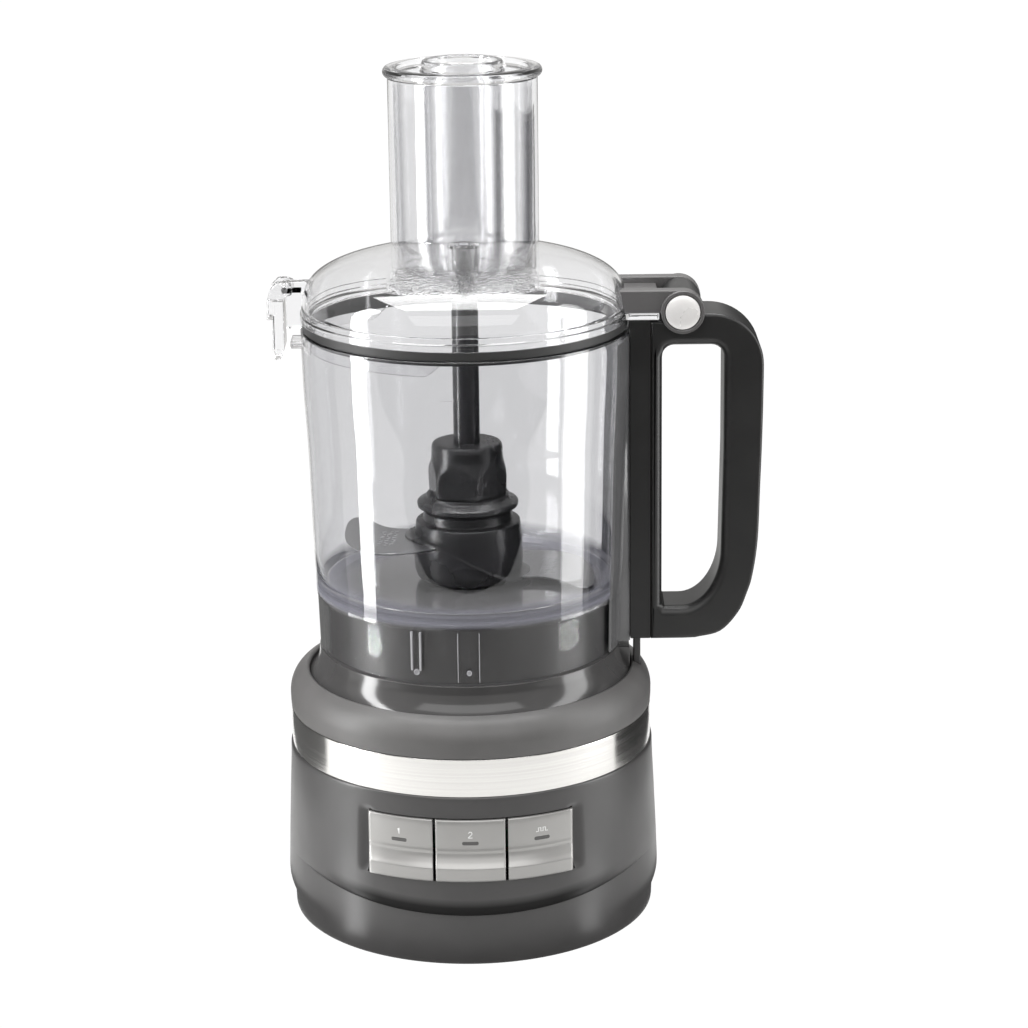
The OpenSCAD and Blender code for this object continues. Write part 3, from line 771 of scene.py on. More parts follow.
def rubber_feet():
    """Four round feet."""
    profile = [(0, 0.5), (3.4, 0.5), (3.9, 0.0), (6.4, 0), (6.7, 0.3), (7.4, 2.5), (8, 2.5),
               (8, 3.6), (0, 3.6)]
    bm = bmesh.new()
    for k in range(4):
        a = math.radians(45 + 90 * k)
        lathe(profile, 40, (68 * math.cos(a), 68 * math.sin(a)), bm)
    return piece("rubber_feet", bm, "base", ["feet"], RUBBER)


def steel_band():
    """The brushed band between the housing and the shoulder."""
    low, high = BAND_Z
    profile = rounded([(89, low), (90.2, low), (90.2, high), (89, high)], 0.3)
    return piece("steel_band", lathe(profile, 192), "base", ["trim_band"], BAND)


def shoulder():
    """The rounded collar between the band and the bowl seat, with the lock rod's slot."""
    outer = [(88.2, 108), (89.6, 108), (90.05, 108.35), (90.3, 109.3), (90.45, 111.5)]
    outer += arc(79.9, 115, 10.6, 12.5, 0, 66, 14)
    outer += [(83.1, 127.0), (82.2, 127.45), (81.5, 127.35), (80.9, 126.9), (80.6, 126.2),
              (80.6, 121.5)]
    inner = list(reversed(arc(79.9, 115, 8, 8.6, 0, 72, 10)))
    made = solid(lathe(outer + inner, 180))
    slot = solid(block((81.5, -4.9, 110), (85.7, 4.9, 132), 0.3))
    return piece("shoulder", cut(made, slot), "base", ["shoulder_cover"], SHOULDER)


def bowl_seat():
    """The raised drum that the bowl locks on, with its lock block under the handle."""
    flare = curve_through([(80.3, 125.4), (78.9, 126.9), (77.5, 128.9), (76.4, 131.4),
                           (75.5, 135), (75.1, 138.6)], 5)
    outer = [(80.3, 124)] + flare
    outer += rounded([(75.1, 138.7), (75, 139.6, 0.4), (72.8, 140.2, 0.4), (72.8, 169.6, 0.4),
                      (72.2, 170.2, 0.4), (8.8, 170.2, 0.4), (8.8, 172, 0.4), (7.2, 172, 0.3),
                      (7.2, 158)], 0.3, closed=False)
    inner = [(9.6, 158), (9.6, 163.4), (68.8, 163.4), (69.8, 162), (69.8, 137), (72.4, 132),
             (75.6, 126), (77, 120), (77, 103), (79.4, 103)]
    made = solid(lathe(outer + inner, 180))
    lock = solid(block((73.0, -8.5, 124.4), (79.8, 8.5, 136.6), 0.6))
    return piece("bowl_seat", join(made, lock), "base", ["bowl_seat"], SEAT)


def cord_gland():
    """The rubber ring where the cord would enter."""
    profile = rounded([(3.6, 83.5), (9, 83.5), (9, 86.6), (6.95, 86.6), (6.95, 93.8), (8.6, 93.8),
                       (7.4, 96.4, 0.8), (3.6, 96.4)], 0.3)
    return piece("cord_gland", cross_lathe(profile, 0, GLAND_Z, 64), "base", ["cord_gland"],
                 INNER_BLACK)


# ---------------------------------------------------------------- keys

KEY_SIDE = [(94.9, 47.35), (95.2, 47.9), (95.4, 49.0), (95.75, 51.6), (95.98, 53.8),
            (95.93, 54.3), (95.75, 54.7), (95.2, 55.5), (94.6, 56.6), (94.05, 57.9),
            (93.55, 59.2), (93.2, 60.4), (93.05, 61.3), (93.14, 61.9), (93.18, 62.3),
            (93.06, 62.9), (92.9, 64.0), (92.78, 68), (92.66, 72), (92.5, 75.6), (92.25, 77.4)]
key_r = reader(KEY_SIDE, 6)


def key(name, a, body, node):
    """One rocking key: flat upper face, sloping thumb ledge and a lip along the bottom."""
    zs = spaced(47.4, 77.4, 60)
    edge = [(0, 0.75), (0.12, 0.32), (0.3, 0.1), (0.55, 0)]
    offsets = [(-KEY_HALF + d, drop) for d, drop in edge]
    offsets += [(x, 0) for x in spaced(-KEY_HALF + 1, KEY_HALF - 1, 12)]
    offsets += [(KEY_HALF - d, drop) for d, drop in reversed(edge)]
    rings = []
    for da, drop in offsets:
        face = [(94.3 - drop, 47.2)] + [(key_r(z) - drop, z) for z in zs]
        face += [(92.0 - drop, 77.8), (91.5 - drop, 78)]
        ring = [(90.4, 47.2)] + face + [(90.4, 78)]
        across = 92.4 * math.sin(math.radians(a + da))
        rings.append([polar(r, math.degrees(math.asin(across / r)), z) for r, z in ring])
    bm = loft(rings, close_loft=False, caps=True)
    turn = Matrix.Rotation(math.radians(a), 4, "Z")
    for lo, hi in (((-11, -90.8, 72.6), (11, -86.5, 77.4)), ((-2, -90.8, 52), (2, -74.6, 58))):
        arm = block(lo, hi, 0.3)
        bmesh.ops.transform(arm, matrix=turn, verts=arm.verts)
        spare = bpy.data.meshes.new("spare")
        arm.to_mesh(spare)
        arm.free()
        bm.from_mesh(spare)
        bpy.data.meshes.remove(spare)
    return piece(name, bm, body, [node], BUTTON)


def on_key(a, height):
    """Places a mark's (u, v) on a key's face, u along the panel and v up, w outward."""
    def place(u, v, w):
        z = height + v
        r = key_r(z) + w
        return polar(r, a + math.degrees(u / 92.6), z)
    return place


def key_lens(name, a, body, node):
    """The small lamp window across a key's face."""
    half = 3.95
    outline = rounded([(-half, -0.9), (half, -0.9), (half, 0.9), (-half, 0.9)], 0.88, 6)
    dense = []
    for p, q in zip(outline, outline[1:] + outline[:1]):
        parts = max(1, round(abs(q[0] - p[0]) / 0.9))
        dense += [(p[0] + (q[0] - p[0]) * i / parts, p[1] + (q[1] - p[1]) * i / parts)
                  for i in range(parts)]
    rim = [(0.0, -1.0), (0, 0.02), (0.1, 0.1), (0.25, 0.13)]
    return piece(name, plate(dense, rim, on_key(a, 66.5)), body, [node], LENS)


def stroke(path, width):
    """The outline of a drawn line of the given width."""
    pts = [Vector(p) for p in path]
    left, right = [], []
    for i, p in enumerate(pts):
        before = pts[max(0, i - 1)]
        after = pts[min(len(pts) - 1, i + 1)]
        along = (after - before).normalized()
        across = Vector((-along.y, along.x)) * width / 2
        left.append(tuple(p + across))
        right.append(tuple(p - across))
    return left + list(reversed(right))


def key_mark(name, a, body, paths):
    """A printed figure above a key's lamp."""
    bm = bmesh.new()
    for path in paths:
        plate(stroke(path, 0.38), [(0, -0.05), (0, 0.045)], on_key(a, 69.3), bm=bm)
    return piece(name, bm, body, [], MARK)


def keys():
    """Three keys with their lamps and printed figures."""
    one = [[(-0.75, 2.35), (0.1, 3.0), (0.1, 0)]]
    two = [[(-0.9, 2.3)] + arc(0, 2.15, 0.85, 0.85, 170, -25, 8) + [(-0.95, 0.15)],
           [(-1.1, 0.0), (1.05, 0.0)]]
    pulse = [[(-3.0, 0.6), (-1.8, 0.6), (-1.8, 2.4), (-0.6, 2.4), (-0.6, 0.6), (0.6, 0.6),
              (0.6, 2.4), (1.8, 2.4), (1.8, 0.6), (3.0, 0.6)]]
    for tag, a, body, marks in (("1", -KEY_PITCH, "key_1", one), ("2", 0, "key_2", two),
                                ("pulse", KEY_PITCH, "key_pulse", pulse)):
        key("key_" + tag + "_cap", a, body, "button_" + tag)
        key_lens("key_" + tag + "_lamp", a, body, "lens_" + tag)
        key_mark("key_" + tag + "_mark", a, body, marks)


# ---------------------------------------------------------------- bowl and handle

def bowl():
    """The clear bowl: tapered wall, rounded floor, tall column, skirt and latch catch."""
    wall_out = curve_through([(76.7, 190), (77.9, 239), (79.4, 270), (80, 299.4)], 8)
    wall_in = curve_through([(77.6, 299.4), (77.0, 270), (75.5, 239), (74.3, 190)], 8)
    profile = [(78.0, 300), (79.6, 300), (79.88, 299.8)] + list(reversed(wall_out))
    profile += rounded([(76.3, 181), (75.9, 172, 2), (75.9, 167.6, 0.5), (75.4, 166.8, 0.5),
                        (75.25, 162, 1), (74.7, 140.8, 0.4), (73.0, 140.8, 0.3),
                        (73.0, 170.4, 0.4), (9.2, 170.4, 0.3), (9.2, 222, 0.4), (12, 222, 0.8),
                        (12, 171.7, 1.2), (65.5, 171.7, 5), (71.0, 173.1, 5), (73.4, 176.8, 5),
                        (74.1, 184)], 0.4, closed=False)
    profile += list(reversed(wall_in)) + [(77.72, 299.8)]
    made = solid(lathe(profile, 192))
    catch = solid(block((-84.8, -7, 290.5), (-77, 7, 294.5), 0.8))
    cut(catch, solid(lathe([(0, 280), (78.6, 280), (78.8, 300), (0, 300)], 192)))
    join(made, catch)
    line = []
    for a in spaced(-7.6, 1.8, 12):
        line.append([polar(r, a, z) for r, z in
                     ((79.3, 281.1), (79.9, 281.2), (79.9, 281.7), (79.3, 281.8))])
    join(made, solid(loft(line, close_loft=False, caps=True)))
    return piece("bowl_clear", made, "bowl_unit", ["bowl"], CLEAR, sharp=40)


SKIRT_R = 74.9


def skirt_ribs():
    """Fine ribs and two studs that stand on the skirt."""
    strips = []
    for a, wide, bottom in ((-20.9, 0.5, 147), (-17.6, 0.5, 147), (-3.6, 0.2, 142), (4.2, 0.2, 142)):
        strip = solid(block((-wide, -75.75, bottom), (wide, -74.4, 166.4), 0.15))
        strip.data.transform(Matrix.Rotation(math.radians(a), 4, "Z"))
        strips.append(strip)
    for x, z, r in ((-24.6, 146.2, 1.5), (0.6, 146.6, 1.3)):
        y = -math.sqrt(SKIRT_R ** 2 - x * x)
        stud = rounded([(0, y - 0.5, 0), (r * 0.5, y - 0.5), (r * 0.6, y - 0.8), (r, y - 0.8),
                        (r, y + 0.6), (0, y + 0.6, 0)], 0.2)
        strips.append(solid(cross_lathe(stud, x, z, 32)))
    return piece("skirt_ribs", join(*strips), "bowl_unit", [], RIB)


def bowl_web():
    """The smoky saddle that carries the handle on the bowl's wall."""
    wall = reader([(75.0, 141), (75.35, 166), (75.9, 169), (76.0, 174), (76.7, 190), (77.9, 239),
                   (79.4, 270), (80, 297)])
    rings = []
    for z in [141.2, 141.7] + spaced(144, 294, 50) + [296.3, 296.8]:
        base = wall(z) + 0.06
        pull = 0.5 if z < 141.5 or z > 296.5 else 0
        inner = [(base + pull, a) for a in spaced(-24, 24, 16)]
        outer_back = [(base + 0.9 - pull * 0.6, a) for a in spaced(23.4, 10.6, 5)]
        outer_front = [(r, -a) for r, a in reversed(outer_back)]
        ring = [polar(r, a + 90, z) for r, a in inner + outer_back]
        ring += [(79.4, 12.9 - pull, z), (79.84, 12.5 - pull, z), (79.84, pull - 12.5, z),
                 (79.4, pull - 12.9, z)]
        ring += [polar(r, a + 90, z) for r, a in outer_front]
        if base + 0.95 > 79.8:
            ring = [(min(x, 79.84), y, h) for x, y, h in ring]
        rings.append(ring)
    return piece("bowl_web", loft(rings, close_loft=False, caps=True), "bowl_unit", [],
                 SMOKY)


def handle_column():
    """The black column that joins the grip to the bowl, hollow for the lock rod."""
    outline = rounded([(79.9, -14, 0.3), (90, -14, 0.5), (90, 14, 0.5), (79.9, 14, 0.3)], 0.4, 3)
    made = solid(plate(outline, rim_round(0.5, 142.6, 304, 3), in_xy))
    cut(made, solid(block((81.5, -4.9, 130), (85.7, 4.9, 293), 0.2)))
    return piece("handle_column", made, "bowl_unit", ["handle_mount"], HANDLE)


GRIP_OUTER = ([(90.05, 142.6), (106, 142.6)]
              + curve_through([(112, 142.8), (124.5, 146.0), (133.3, 155.6), (137.5, 165.3),
                               (140.3, 175), (142.7, 193), (143.6, 220), (144.2, 239),
                               (144.6, 258), (144.8, 276)], 5)
              + arc(119, 281.5, 25.8, 26, 0, 90, 16) + [(98.6, 307.5), (98, 307), (98, 304),
                                                        (90.05, 304)])
GRIP_WINDOW = ([(97.0, 159), (95.5, 160.5), (95.5, 286)] + arc(101.3, 285.7, 5.8, 5.8, 180, 90, 6)
               + arc(119.3, 285.2, 6.2, 6.3, 90, 0, 6)
               + [(125.5, 240)] + arc(105, 188, 19.5, 29, 0, -90, 18))


def handle_grip():
    """The D shaped grip: flat faces, crisp outer edge and a softly rounded window."""
    made = solid(plate(GRIP_OUTER, rim_round(1.5, -15, 15, 4), in_xz, [GRIP_WINDOW],
                       rim_round(4.4, -15, 15, 7)))
    boss = solid(cross_lathe(rounded([(0, -12.6), (10.2, -12.6), (10.2, 12.6), (0, 12.6)], 0.3),
                             PIN_X, PIN_Z, 96))
    join(made, boss)
    for s in (-1, 1):
        low, high = sorted((s * 12.7, s * 22.7))
        cut(made, crosswise(11.3, low, high, PIN_X, PIN_Z, 96))
    cut(made, crosswise(3, -30, 30, PIN_X, PIN_Z, 48))
    return piece("handle_grip", made, "bowl_unit", ["handle"], HANDLE)


def hinge_caps():
    """The domed bright caps on the hinge pin's ends."""
    bm = bmesh.new()
    for s in (-1, 1):
        profile = [(0, 20.3), (8.4, 20.3), (8.4, 21.0), (8.25, 21.25), (7.7, 21.5), (6.0, 21.85),
                   (4.0, 22.02), (2.0, 22.1), (0, 22.12)]
        cross_lathe([(r, s * y) for r, y in profile], PIN_X, PIN_Z, 72, bm)
    return piece("hinge_caps", bm, "bowl_unit", ["hinge_caps"], CAP)


def lock_rod():
    """The rod in the handle that tells the base the lid is shut."""
    return piece("lock_rod", block((81.9, -4.5, 118), (85.3, 4.5, 286), 0.5), "interlock",
                 ["interlock_rod"], HOUSING)


# ---------------------------------------------------------------- lid

def dome_point(t, inset):
    """The dome's half profile at angle t in degrees, inset from the outside."""
    c = max(0.0, math.cos(math.radians(t)))
    s = max(0.0, math.sin(math.radians(t)))
    return ((DOME_R - inset) * c ** 1.138, DOME_Z + (DOME_RISE - inset) * s ** 0.486)


def dome_angles(low, high, n):
    """Angles packed towards the dome's steep foot."""
    return [low + (high - low) * (0.3 * u + 0.7 * u * u) for u in spaced(0, 1, n)]


def skirt_foot(a):
    """The lid's inner skirt hangs lower on the latch side."""
    low = smoothstep((-5 - a) / 9) * smoothstep((a + 150) / 10)
    return 299.6 - 7.4 * low


def lid_shell():
    """The dome with its rim and the skirt inside the bowl."""
    rings = []
    around = 192
    outer = [dome_point(t, 0) for t in dome_angles(2.8, 90, 56)]
    inner = [dome_point(t, 2.2) for t in reversed(dome_angles(0.6, 90, 56))]
    rim = rounded([(76.9, 304.7, 0.2), (80, 304.7, 0.5), (80, 308, 0.6), (79.4, 308.6, 0.3),
                   (79.3, 310.9, 0.5), (78.7, 311.3, 0.2)], 0.3, closed=False)
    for i in range(around):
        a = -180 + 360 * i / around
        foot = skirt_foot(a)
        profile = rim + outer + inner
        profile += [(74.6, 306.8), (74.6, foot + 0.4), (74.9, foot), (75.9, foot),
                    (76.2, foot + 0.4), (76.2, 304.6)]
        rings.append([polar(r, a, z) for r, z in profile])
    return solid(loft(rings))


def tube_foot(radius):
    """The slanted lower end of a cylinder on the feed tube's axis."""
    ring = []
    slope = 8 / (2 * TUBE_R)
    for i in range(128):
        t = 2 * math.pi * i / 128
        x, y = radius * math.cos(t), TUBE_Y + radius * math.sin(t)
        ring.append((x, y, 314 - slope * (y - (TUBE_Y - TUBE_R))))
    return ring


def feed_wall():
    """The feed tube: one thin wall with a rounded top edge."""
    edge, brow = TUBE_TOP - 0.8, TUBE_TOP - 0.25
    profile = [(0, 330), (0, 350), (0, 380), (0, edge), (0.12, brow), (0.35, TUBE_TOP),
               (0.65, TUBE_TOP), (0.88, brow), (1, edge), (1, 380), (1, 350), (1, 330)]
    rings = []
    for (xo, yo, zo), (xi, yi, zi) in zip(tube_foot(TUBE_R), tube_foot(TUBE_R - TUBE_WALL)):
        wall = [(xo + (xi - xo) * t, yo + (yi - yo) * t, z) for t, z in profile]
        rings.append([(xo, yo, zo)] + wall + [(xi, yi, zi)])
    return solid(loft(rings))


def under_dome(low, inset, high):
    """What lies below the dome, to trim parts that stand on it."""
    skin = [dome_point(t, inset) for t in dome_angles(0, 60, 24)]
    return solid(lathe([(0, low)] + skin + [(0, high)], 160))


def lid():
    """The lid: dome, centre boss, seat and wall of the feed tube, hinge tab and latch lugs."""
    made = lid_shell()
    boss = solid(lathe(rounded([(0, 322), (7.8, 322), (7.8, 339.9, 0.6), (0, 339.9)], 0.3), 96))
    bulge = solid(lathe(rounded([(0, 304.75), (38.4, 304.75), (38.4, 308), (0, 308)], 0.5), 128,
                        (0, TUBE_Y)))
    cut(bulge, upright(77.4, 300, 312, 160))
    tab = solid(block((72, -19, 305.5), (93.8, 19, 308.9), 0.5))
    cut(tab, upright(77.6, 300, 312, 160))
    join(made, boss, bulge, tab)
    cut(made, upright(TUBE_R - 1, 290, 360, 128, (0, TUBE_Y)))
    join(made, feed_wall())
    for lo, hi in (((-88.4, -3, 317), (-74.0, 3, 323)), ((-86.6, -3, 299.6), (-78.6, 3, 320))):
        join(made, cut(solid(block(lo, hi, 0.6)), under_dome(290, 0.9, 340)))
    cut(made, solid(lathe([(0, 320), (5.9, 320), (5.9, 337), (5, 337.3), (5, 350), (0, 350)], 64)))
    cut(made, crosswise(1.52, -5, 5, LATCH_X, LATCH_Z, 32))
    return piece("lid_clear", made, "lid_unit", ["lid", "feed_tube"], CLEAR_LID,
                 sharp=40)


def hinge_bracket():
    """Two arms with ring ends and the web between them, shaped to the dome."""
    made = None
    for s in (-1, 1):
        arm = [(72, 309.0)] + [(PIN_X - 10.6, 309.0)]
        arm += arc(PIN_X, PIN_Z, 10.6, 10.6, 182, 450, 40)
        arm += [(PIN_X - 6, 320.1), (72, 320.1)]
        low, high = sorted((s * 13.0, s * 20.0))
        shape = solid(plate(arm, rim_round(0.6, low, high, 3), in_xz))
        collar = [(8.75, s * 19.0), (10.55, s * 19.0), (10.55, s * 21.1), (10.25, s * 21.45),
                  (9.2, s * 21.45), (8.75, s * 21.0)]
        join(shape, solid(cross_lathe(collar, PIN_X, PIN_Z, 72)))
        made = shape if made is None else join(made, shape)
    web = solid(block((72, -14, 309.2), (93.6, 14, 317), 0.5))
    join(made, web)
    cut(made, under_dome(295, -0.15, 342), upright(79.6, 300, 311.1, 160),
        crosswise(3.06, -30, 30, PIN_X, PIN_Z, 48))
    return piece("hinge_bracket", made, "lid_unit", ["lid_hinge_bracket"], HINGE_GREY)


def lid_seal():
    """The black ring between the lid and the bowl."""
    profile = rounded([(76.4, 297.6, 0.3), (77.1, 297.9, 0.4), (77.3, 300.3, 0.2),
                       (79.15, 300.6, 0.5), (79.2, 304.6, 0.3), (76.4, 304.6, 0.3)], 0.3)
    return piece("seal_ring", lathe(profile, 180), "lid_unit", ["lid_seal"], SEAL)


def latch():
    """The clear lever that hooks under the bowl's catch, with a finger pad sunk into each side; the
    pad's ribs are not drawn.
    """
    outline = rounded([(-87.6, 313, 0.3), (-87.6, 291, 1.0), (-89.4, 285.8, 1.2),
                       (-92.4, 285.2, 1.0), (-93.3, 287.2, 0.8), (-93.3, 305.2, 0.5),
                       (-95.7, 305.2, 0.5), (-95.5, 314, 4), (-94.0, 320.0, 3),
                       (-90.8, 323.4, 2), (-86.8, 323.6, 1.5), (-83.2, 322.4, 1.5),
                       (-83.2, 317.6, 1.5), (-86.0, 316.6, 1.0), (-87.6, 315.5, 0.3)], 0.5)
    made = solid(plate(outline, rim_round(0.7, -8.5, 8.5, 3), in_xz))
    pad = rounded([(-92.7, 288, 1.2), (-88.3, 288, 1.2), (-88.3, 312.5, 2.2), (-92.7, 312.5, 2.2)],
                  1)
    for s in (-1, 1):
        low, high = sorted((s * 7.9, s * 9.0))
        cut(made, solid(plate(pad, rim_round(0.01, low, high, 1), in_xz)))
    cut(made, solid(block((-100, -3.4, 313.5), (-80, 3.4, 330), 0.2)),
        crosswise(1.54, -10, 10, LATCH_X, LATCH_Z, 32))
    return piece("latch_lever", made, "latch_lever", ["latch"], CLEAR_PUSHER)


# ---------------------------------------------------------------- pushers

def large_pusher():
    """The round pusher, with a rounded rim and a well for the small one."""
    profile = rounded([(19, 319, 0.4), (33.6, 319, 1.2), (34.35, 415.8, 0.4), (38.6, 415.8, 0.5),
                       (39.3, 417.0, 1.0), (39.3, 418.4, 1.0), (38.4, 419.8, 1.0),
                       (36.6, 420.3, 1.2), (33.2, 420.3, 0.7), (32.3, 419.2, 0.8), (31.4, 321.4, 1.0),
                       (21, 321.4, 0.8), (21, 418, 0.5), (19, 418, 0.5)], 0.4)
    return piece("pusher_large", lathe(profile, 144, (0, TUBE_Y)), "food_pusher",
                 ["large_pusher"], CLEAR_PUSHER)


def small_pusher():
    """The slim cup that slides in the large pusher."""
    profile = rounded([(0, 319.6), (18.2, 319.6, 1.0), (18.65, 418.4, 0.4), (19.8, 418.4, 0.3),
                       (20.2, 419.2, 0.5), (20.2, 421.6, 0.8), (19.4, 423, 0.9), (17.2, 423, 0.6),
                       (16.7, 421.4, 0.6), (16.2, 321.6, 1.0), (0, 321.6)], 0.4)
    return piece("pusher_small", lathe(profile, 112, (0, TUBE_Y)), "inner_pusher",
                 ["small_pusher"], CLEAR_PUSHER)


# ---------------------------------------------------------------- knife

def drive_stem():
    """The tall stem, stepped at the top, with a hexagonal socket below."""
    profile = rounded([(0, 330), (2.3, 330, 0.8), (2.8, 329, 0.6), (2.8, 314.4, 0.4),
                       (4.9, 314.4, 0.6), (6.5, 313, 0.6), (6.5, 286, 0.2), (6.2, 285.8, 0.2),
                       (6.2, 284.6, 0.2), (6.5, 284.4, 0.2), (6.5, 174, 0.4), (0, 174)], 0.3)
    made = solid(lathe(profile, 64))
    hexagon = [(5.12 * math.cos(math.radians(60 * k)), 5.12 * math.sin(math.radians(60 * k)))
               for k in range(6)]
    cut(made, solid(plate(hexagon, [(0, 170), (0, 208)], in_xy)))
    return piece("drive_stem", made, "stem", ["drive_stem"], STEM)


def knife_hub():
    """The carrier: a barrel with a necked flange and a rib that winds between the blades."""
    profile = rounded([(13.2, 172.3), (22.0, 172.3, 2), (25.6, 174.2, 2.5), (26.7, 177.6, 3),
                       (27.0, 183, 3), (26.9, 191, 3), (26.4, 197.5, 2), (25.8, 202.0, 0.9),
                       (22.6, 202.7, 0.4), (22.2, 203.3, 0.4), (21.9, 207.0, 0.8),
                       (22.6, 208.3, 0.8), (24.9, 209.5, 0.6), (25.1, 211.5, 0.7),
                       (24.2, 212.3, 0.6), (20.6, 214.2, 0.8), (20.3, 215.6, 0.3),
                       (13.2, 215.6)], 0.4)
    rings = []
    for i in range(97):
        a = -126 + 252 * i / 96
        z = 194.2 - 19.0 * smoothstep((a + 42) / 104)
        ear = 3.0 * smoothstep(1 - abs(a + 90) / 40) + 2.2 * smoothstep(1 - abs(a - 88) / 38)
        fade = smoothstep((126 - abs(a)) / 14)
        reach = 25.7 + (3.0 + ear) * fade
        section = [(22.5, z - 2.3), (reach - 0.9, z - 1.7), (reach - 0.3, z - 1.4),
                   (reach, z - 0.8), (reach - 0.3, z + 0.6), (reach - 1.0, z + 0.8), (22.5, z + 1.9)]
        rings.append([polar(r, a, height) for r, height in section])
    piece("hub_rib", loft(rings, close_loft=False, caps=True), "knife", [], HUB,
          sharp=40)
    return piece("knife_hub", lathe(profile, 128), "knife", ["blade_hub"], HUB,
                 sharp=40)


GRIP_SIDE = [(19.6, 215.7), (19.85, 218), (20.05, 222), (20.1, 225.4), (19.6, 228.2),
             (18.5, 230.8), (17.85, 233), (17.6, 236), (17.5, 239.6)]


def hub_grip():
    """The finger grip: round above, six flats below that run out in arches."""
    grip_r = reader(GRIP_SIDE, 6)
    heights = [215.7, 216.1] + spaced(217, 239.4, 40)
    rings = []
    for i in range(180):
        a = 2.0 * i
        turned = (a + 30) % 60 - 30
        flat = 17.55 / math.cos(math.radians(turned))
        ring = [(6.6, 241.75), (6.6, 216), (13.3, 216), (13.3, 215.7)]
        for z in heights:
            ring.append((min(grip_r(z), flat + 0.02 * (z - 216)) - (0.3 if z < 216 else 0), z))
        ring += [(17.2, 240.6), (16.6, 241.35), (15.6, 241.72), (14.4, 241.75)]
        rings.append([polar(r, a - 17, z) for r, z in ring])
    return piece("hub_grip", loft(rings), "knife", ["hub_grip"], HUB, sharp=24)


SICKLE = [(-12, -21), (-17, -24.5), (-24.5, -28), (-32, -30.4), (-40, -31), (-48, -28.2),
          (-54.5, -22.4), (-59, -13), (-61.3, -2), (-62, 10), (-61.8, 21), (-60.6, 28.6),
          (-58.4, 32.6), (-55.2, 33.2), (-52, 30.8), (-48.6, 25.4), (-44.5, 19), (-39.5, 14.4),
          (-34, 12.2), (-28, 12.4), (-21, 14.5), (-14, 17)]


def sickle(height, turn, name, node):
    """A broad curved blade: blunt behind, ground to an edge along the leading side."""
    outline = [tuple(p) for p in curve_through([Vector(p) for p in SICKLE], 5)]
    made = solid(plate(outline, [(1.5, 0), (0.1, 0.85), (0.0, 0.95), (0.0, 1.2), (0.35, 1.4)],
                       in_xy))
    cut(made, upright(16, -5, 5, 64))
    for k in range(30):
        row, col = divmod(k, 10)
        x, y = -44.5 + 3.1 * row + 0.25 * col + 0.4 * (k % 4), -17.0 + 2.6 * col + 0.5 * (k % 3)
        length = 0.4 + 0.2 * ((k * 7) % 4)
        join(made, solid(block((x - length, y - 0.45, 1.2), (x + length, y + 0.45, 1.6), 0.15)))
    made.data.transform(Matrix.Translation((0, 0, height)) @ Matrix.Rotation(turn, 4, "Z"))
    return piece(name, made, "knife", [node], BLADE)


# ---------------------------------------------------------------- studio

def aim(obj, target):
    """Points an object's -Z axis at a place."""
    direction = Vector(target) - obj.location
    obj.rotation_euler = direction.to_track_quat("-Z", "Y").to_euler()


def softbox(name, place, target, size, power, seen_through=False):
    """A rectangular lamp that shows in reflections but not to the camera."""
    data = bpy.data.lights.new(name, "AREA")
    data.shape = "RECTANGLE"
    data.size, data.size_y = size
    data.energy = power
    lamp = add_object(name, data)
    lamp.location = place
    aim(lamp, target)
    lamp.visible_camera = False
    lamp.visible_transmission = seen_through
    return lamp


def card(name, corners, material, faces=((0, 1, 2, 3),)):
    """A flat card beside the set, not seen by the camera."""
    mesh = bpy.data.meshes.new(name)
    mesh.from_pydata(corners, [], faces)
    mesh.materials.append(material)
    made = add_object(name, mesh)
    made.visible_camera = False
    made.visible_shadow = False
    made.visible_diffuse = False
    return made


def floor():
    """A white table: plain bright to the camera and through the bowl, matt for all else."""
    half = 14.0
    mesh = bpy.data.meshes.new("floor")
    mesh.from_pydata([(-half, -half, 0), (half, -half, 0), (half, half, 0), (-half, half, 0)], [],
                     [(0, 1, 2, 3)])
    made, tree, shader, output = node_tree("floor_white")
    tone = two_tone(tree, noise(tree, object_space(tree), 3.0, 2.0), (0.54, 0.54, 0.535),
                    (0.56, 0.56, 0.555))
    feed(tree, shader, {"Base Color": tone, "Roughness": 0.9, "Specular IOR Level": 0.0})
    white = add_node(tree, "Emission", "Emission", {"Color": (1, 1, 1, 1), "Strength": 1.03})
    camera_ray = add_node(tree, "LightPath", "Is Camera Ray", {})
    through_ray = add_node(tree, "LightPath", "Is Transmission Ray", {})
    either = add_node(tree, "Math", "Value", {0: camera_ray, 1: through_ray}, "MAXIMUM")
    feed(tree, output, {"Surface": mixed(tree, either, shader.outputs["BSDF"], white)})
    mesh.materials.append(made)
    add_object("floor", mesh)


def flag_material(name, level):
    """A matt card of the given tone."""
    made, tree, shader, _ = node_tree(name)
    tone = two_tone(tree, noise(tree, object_space(tree), 4.0, 2.0), (level,) * 3,
                    (level * 1.2,) * 3)
    feed(tree, shader, {"Base Color": tone, "Roughness": 1.0, "Specular IOR Level": 0.0})
    return made


def light_paths():
    """Enough bounces for light to cross every clear wall."""
    scene = bpy.context.scene
    scene.view_settings.view_transform = "Standard"
    scene.view_settings.look = "None"
    scene.cycles.max_bounces = 40
    scene.cycles.transmission_bounces = 36
    scene.cycles.transparent_max_bounces = 40
    scene.cycles.glossy_bounces = 8
    scene.cycles.diffuse_bounces = 3
    scene.cycles.caustics_reflective = False
    scene.cycles.caustics_refractive = True


def room():
    """A pale, even surround."""
    world = bpy.data.worlds.new("studio")
    bpy.context.scene.world = world
    world.use_nodes = True
    sky = world.node_tree.nodes["Background"]
    sky.inputs["Color"].default_value = (1.0, 0.99, 0.975, 1)
    sky.inputs["Strength"].default_value = 0.65


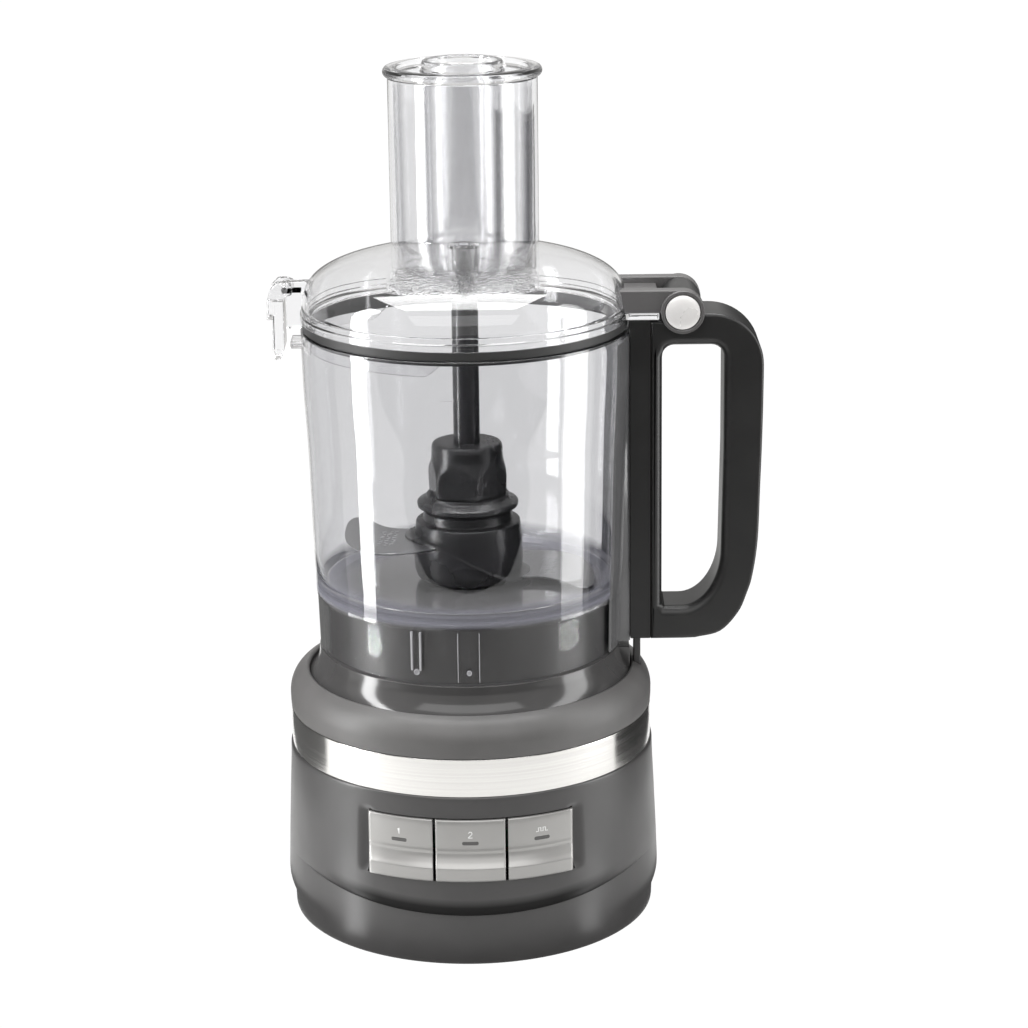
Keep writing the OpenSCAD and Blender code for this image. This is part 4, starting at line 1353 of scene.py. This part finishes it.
def lamps():
    """A strip light on each side, a broad front light and an overhead one."""
    for name, azimuth, width, power in (("strip_left", -74, 0.10, 4.0),
                                        ("strip_right", 79, 0.18, 2.2)):
        softbox(name, polar(0.5, azimuth, 0.37), (0, 0, 0.37), (width, 0.74), power,
                seen_through=True)
    softbox("front_top", (0, -1.5, 1.2), (0, 0, 0.15), (2.4, 1.1), 17.0)
    softbox("overhead", (-0.05, 0.06, 1.3), (-0.05, 0.06, 0), (1.1, 0.78), 22.0,
            seen_through=True)


FLAG_TOP = 0.36
APRON_PARTS = 48
BASE_EDGE = 0.093    # radius where the base meets the table, metres
APRON_Z, GLOW_Z, STRIP_Z = 0.0015, 0.0018, 0.002    # cards lie just above the table


def dark_cards(grey):
    """Two flags behind the sides, and a grey ring on the table round the base that paints in, for
    reflections only, the shade the base casts on the table.
    """
    dim = flag_material("flag_dim", 0.035)
    for side in (-1, 1):
        x0, y0, _ = polar(0.3, side * 91, 0)
        x1, y1, _ = polar(0.3, side * 147, 0)
        flag = card("flag_%s" % ("left" if side < 0 else "right"),
                    [(x0, y0, 0.0), (x1, y1, 0.0), (x1, y1, FLAG_TOP), (x0, y0, FLAG_TOP)],
                    grey if side < 0 else dim)
        flag.visible_transmission = side > 0
    # painted shade: the grey ring lies where the base's shade falls on the table, and shows only in
    # reflections
    apron = []
    for k in range(APRON_PARTS):
        a = 360 / APRON_PARTS * k
        apron += [polar(BASE_EDGE, a, APRON_Z), polar(0.118, a, APRON_Z)]
    many = len(apron)
    quads = [(k, k + 1, (k + 3) % many, (k + 2) % many) for k in range(0, many, 2)]
    card("apron", apron, grey, quads)


def glow_cards():
    """A bright patch on the table to each side, laid where the base mirrors the table."""
    for name, side, level in (("glow_left", -1, 5.0), ("glow_right", 1, 3.0)):
        glow, tree, shader, _ = node_tree(name)
        feed(tree, shader, {"Base Color": (0, 0, 0, 1), "Emission Color": (1, 1, 1, 1),
                            "Emission Strength": level})
        corners = []
        for far in (0.018, 0.07, 0.12, 0.17):
            for a in (36.5, 39, 41.5, 44):
                x, y, _ = polar(BASE_EDGE, a, 0)
                dx, dy, _ = polar(far, 2 * a, 0)
                corners.append((side * (x + dx), y + dy, GLOW_Z))
        quads = [(4 * i + k, 4 * i + k + 1, 4 * i + k + 5, 4 * i + k + 4)
                 for i in range(3) for k in range(3)]
        card(name, corners, glow, quads).visible_transmission = False


def studio():
    """The surround, table, lamps and cards, none of them part of the object."""
    light_paths()
    room()
    floor()
    lamps()
    dark = flag_material("flag_black", 0.010)
    dark_cards(flag_material("flag_grey", 0.09))
    glow_cards()
    card("table_edge", [(-1.2, -4.0, STRIP_Z), (1.2, -4.0, STRIP_Z), (1.2, -0.53, STRIP_Z),
                        (-1.2, -0.53, STRIP_Z)], dark)


# ---------------------------------------------------------------- assembly

def build():
    """Every piece of the object, from the base up."""
    finish_cad_nodes()
    for make in (motor_housing, lower_drum, rubber_feet, steel_band, shoulder, bowl_seat,
                 cord_gland, keys, bowl, bowl_web, skirt_ribs, handle_column, handle_grip,
                 hinge_caps, lock_rod, lid, hinge_bracket, lid_seal, latch, large_pusher,
                 small_pusher, drive_stem, knife_hub, hub_grip):
        make()
    sickle(174.3, math.pi, "blade_lower", "lower_blade")
    sickle(192.3, 0.0, "blade_upper", "upper_blade")


build()
studio()
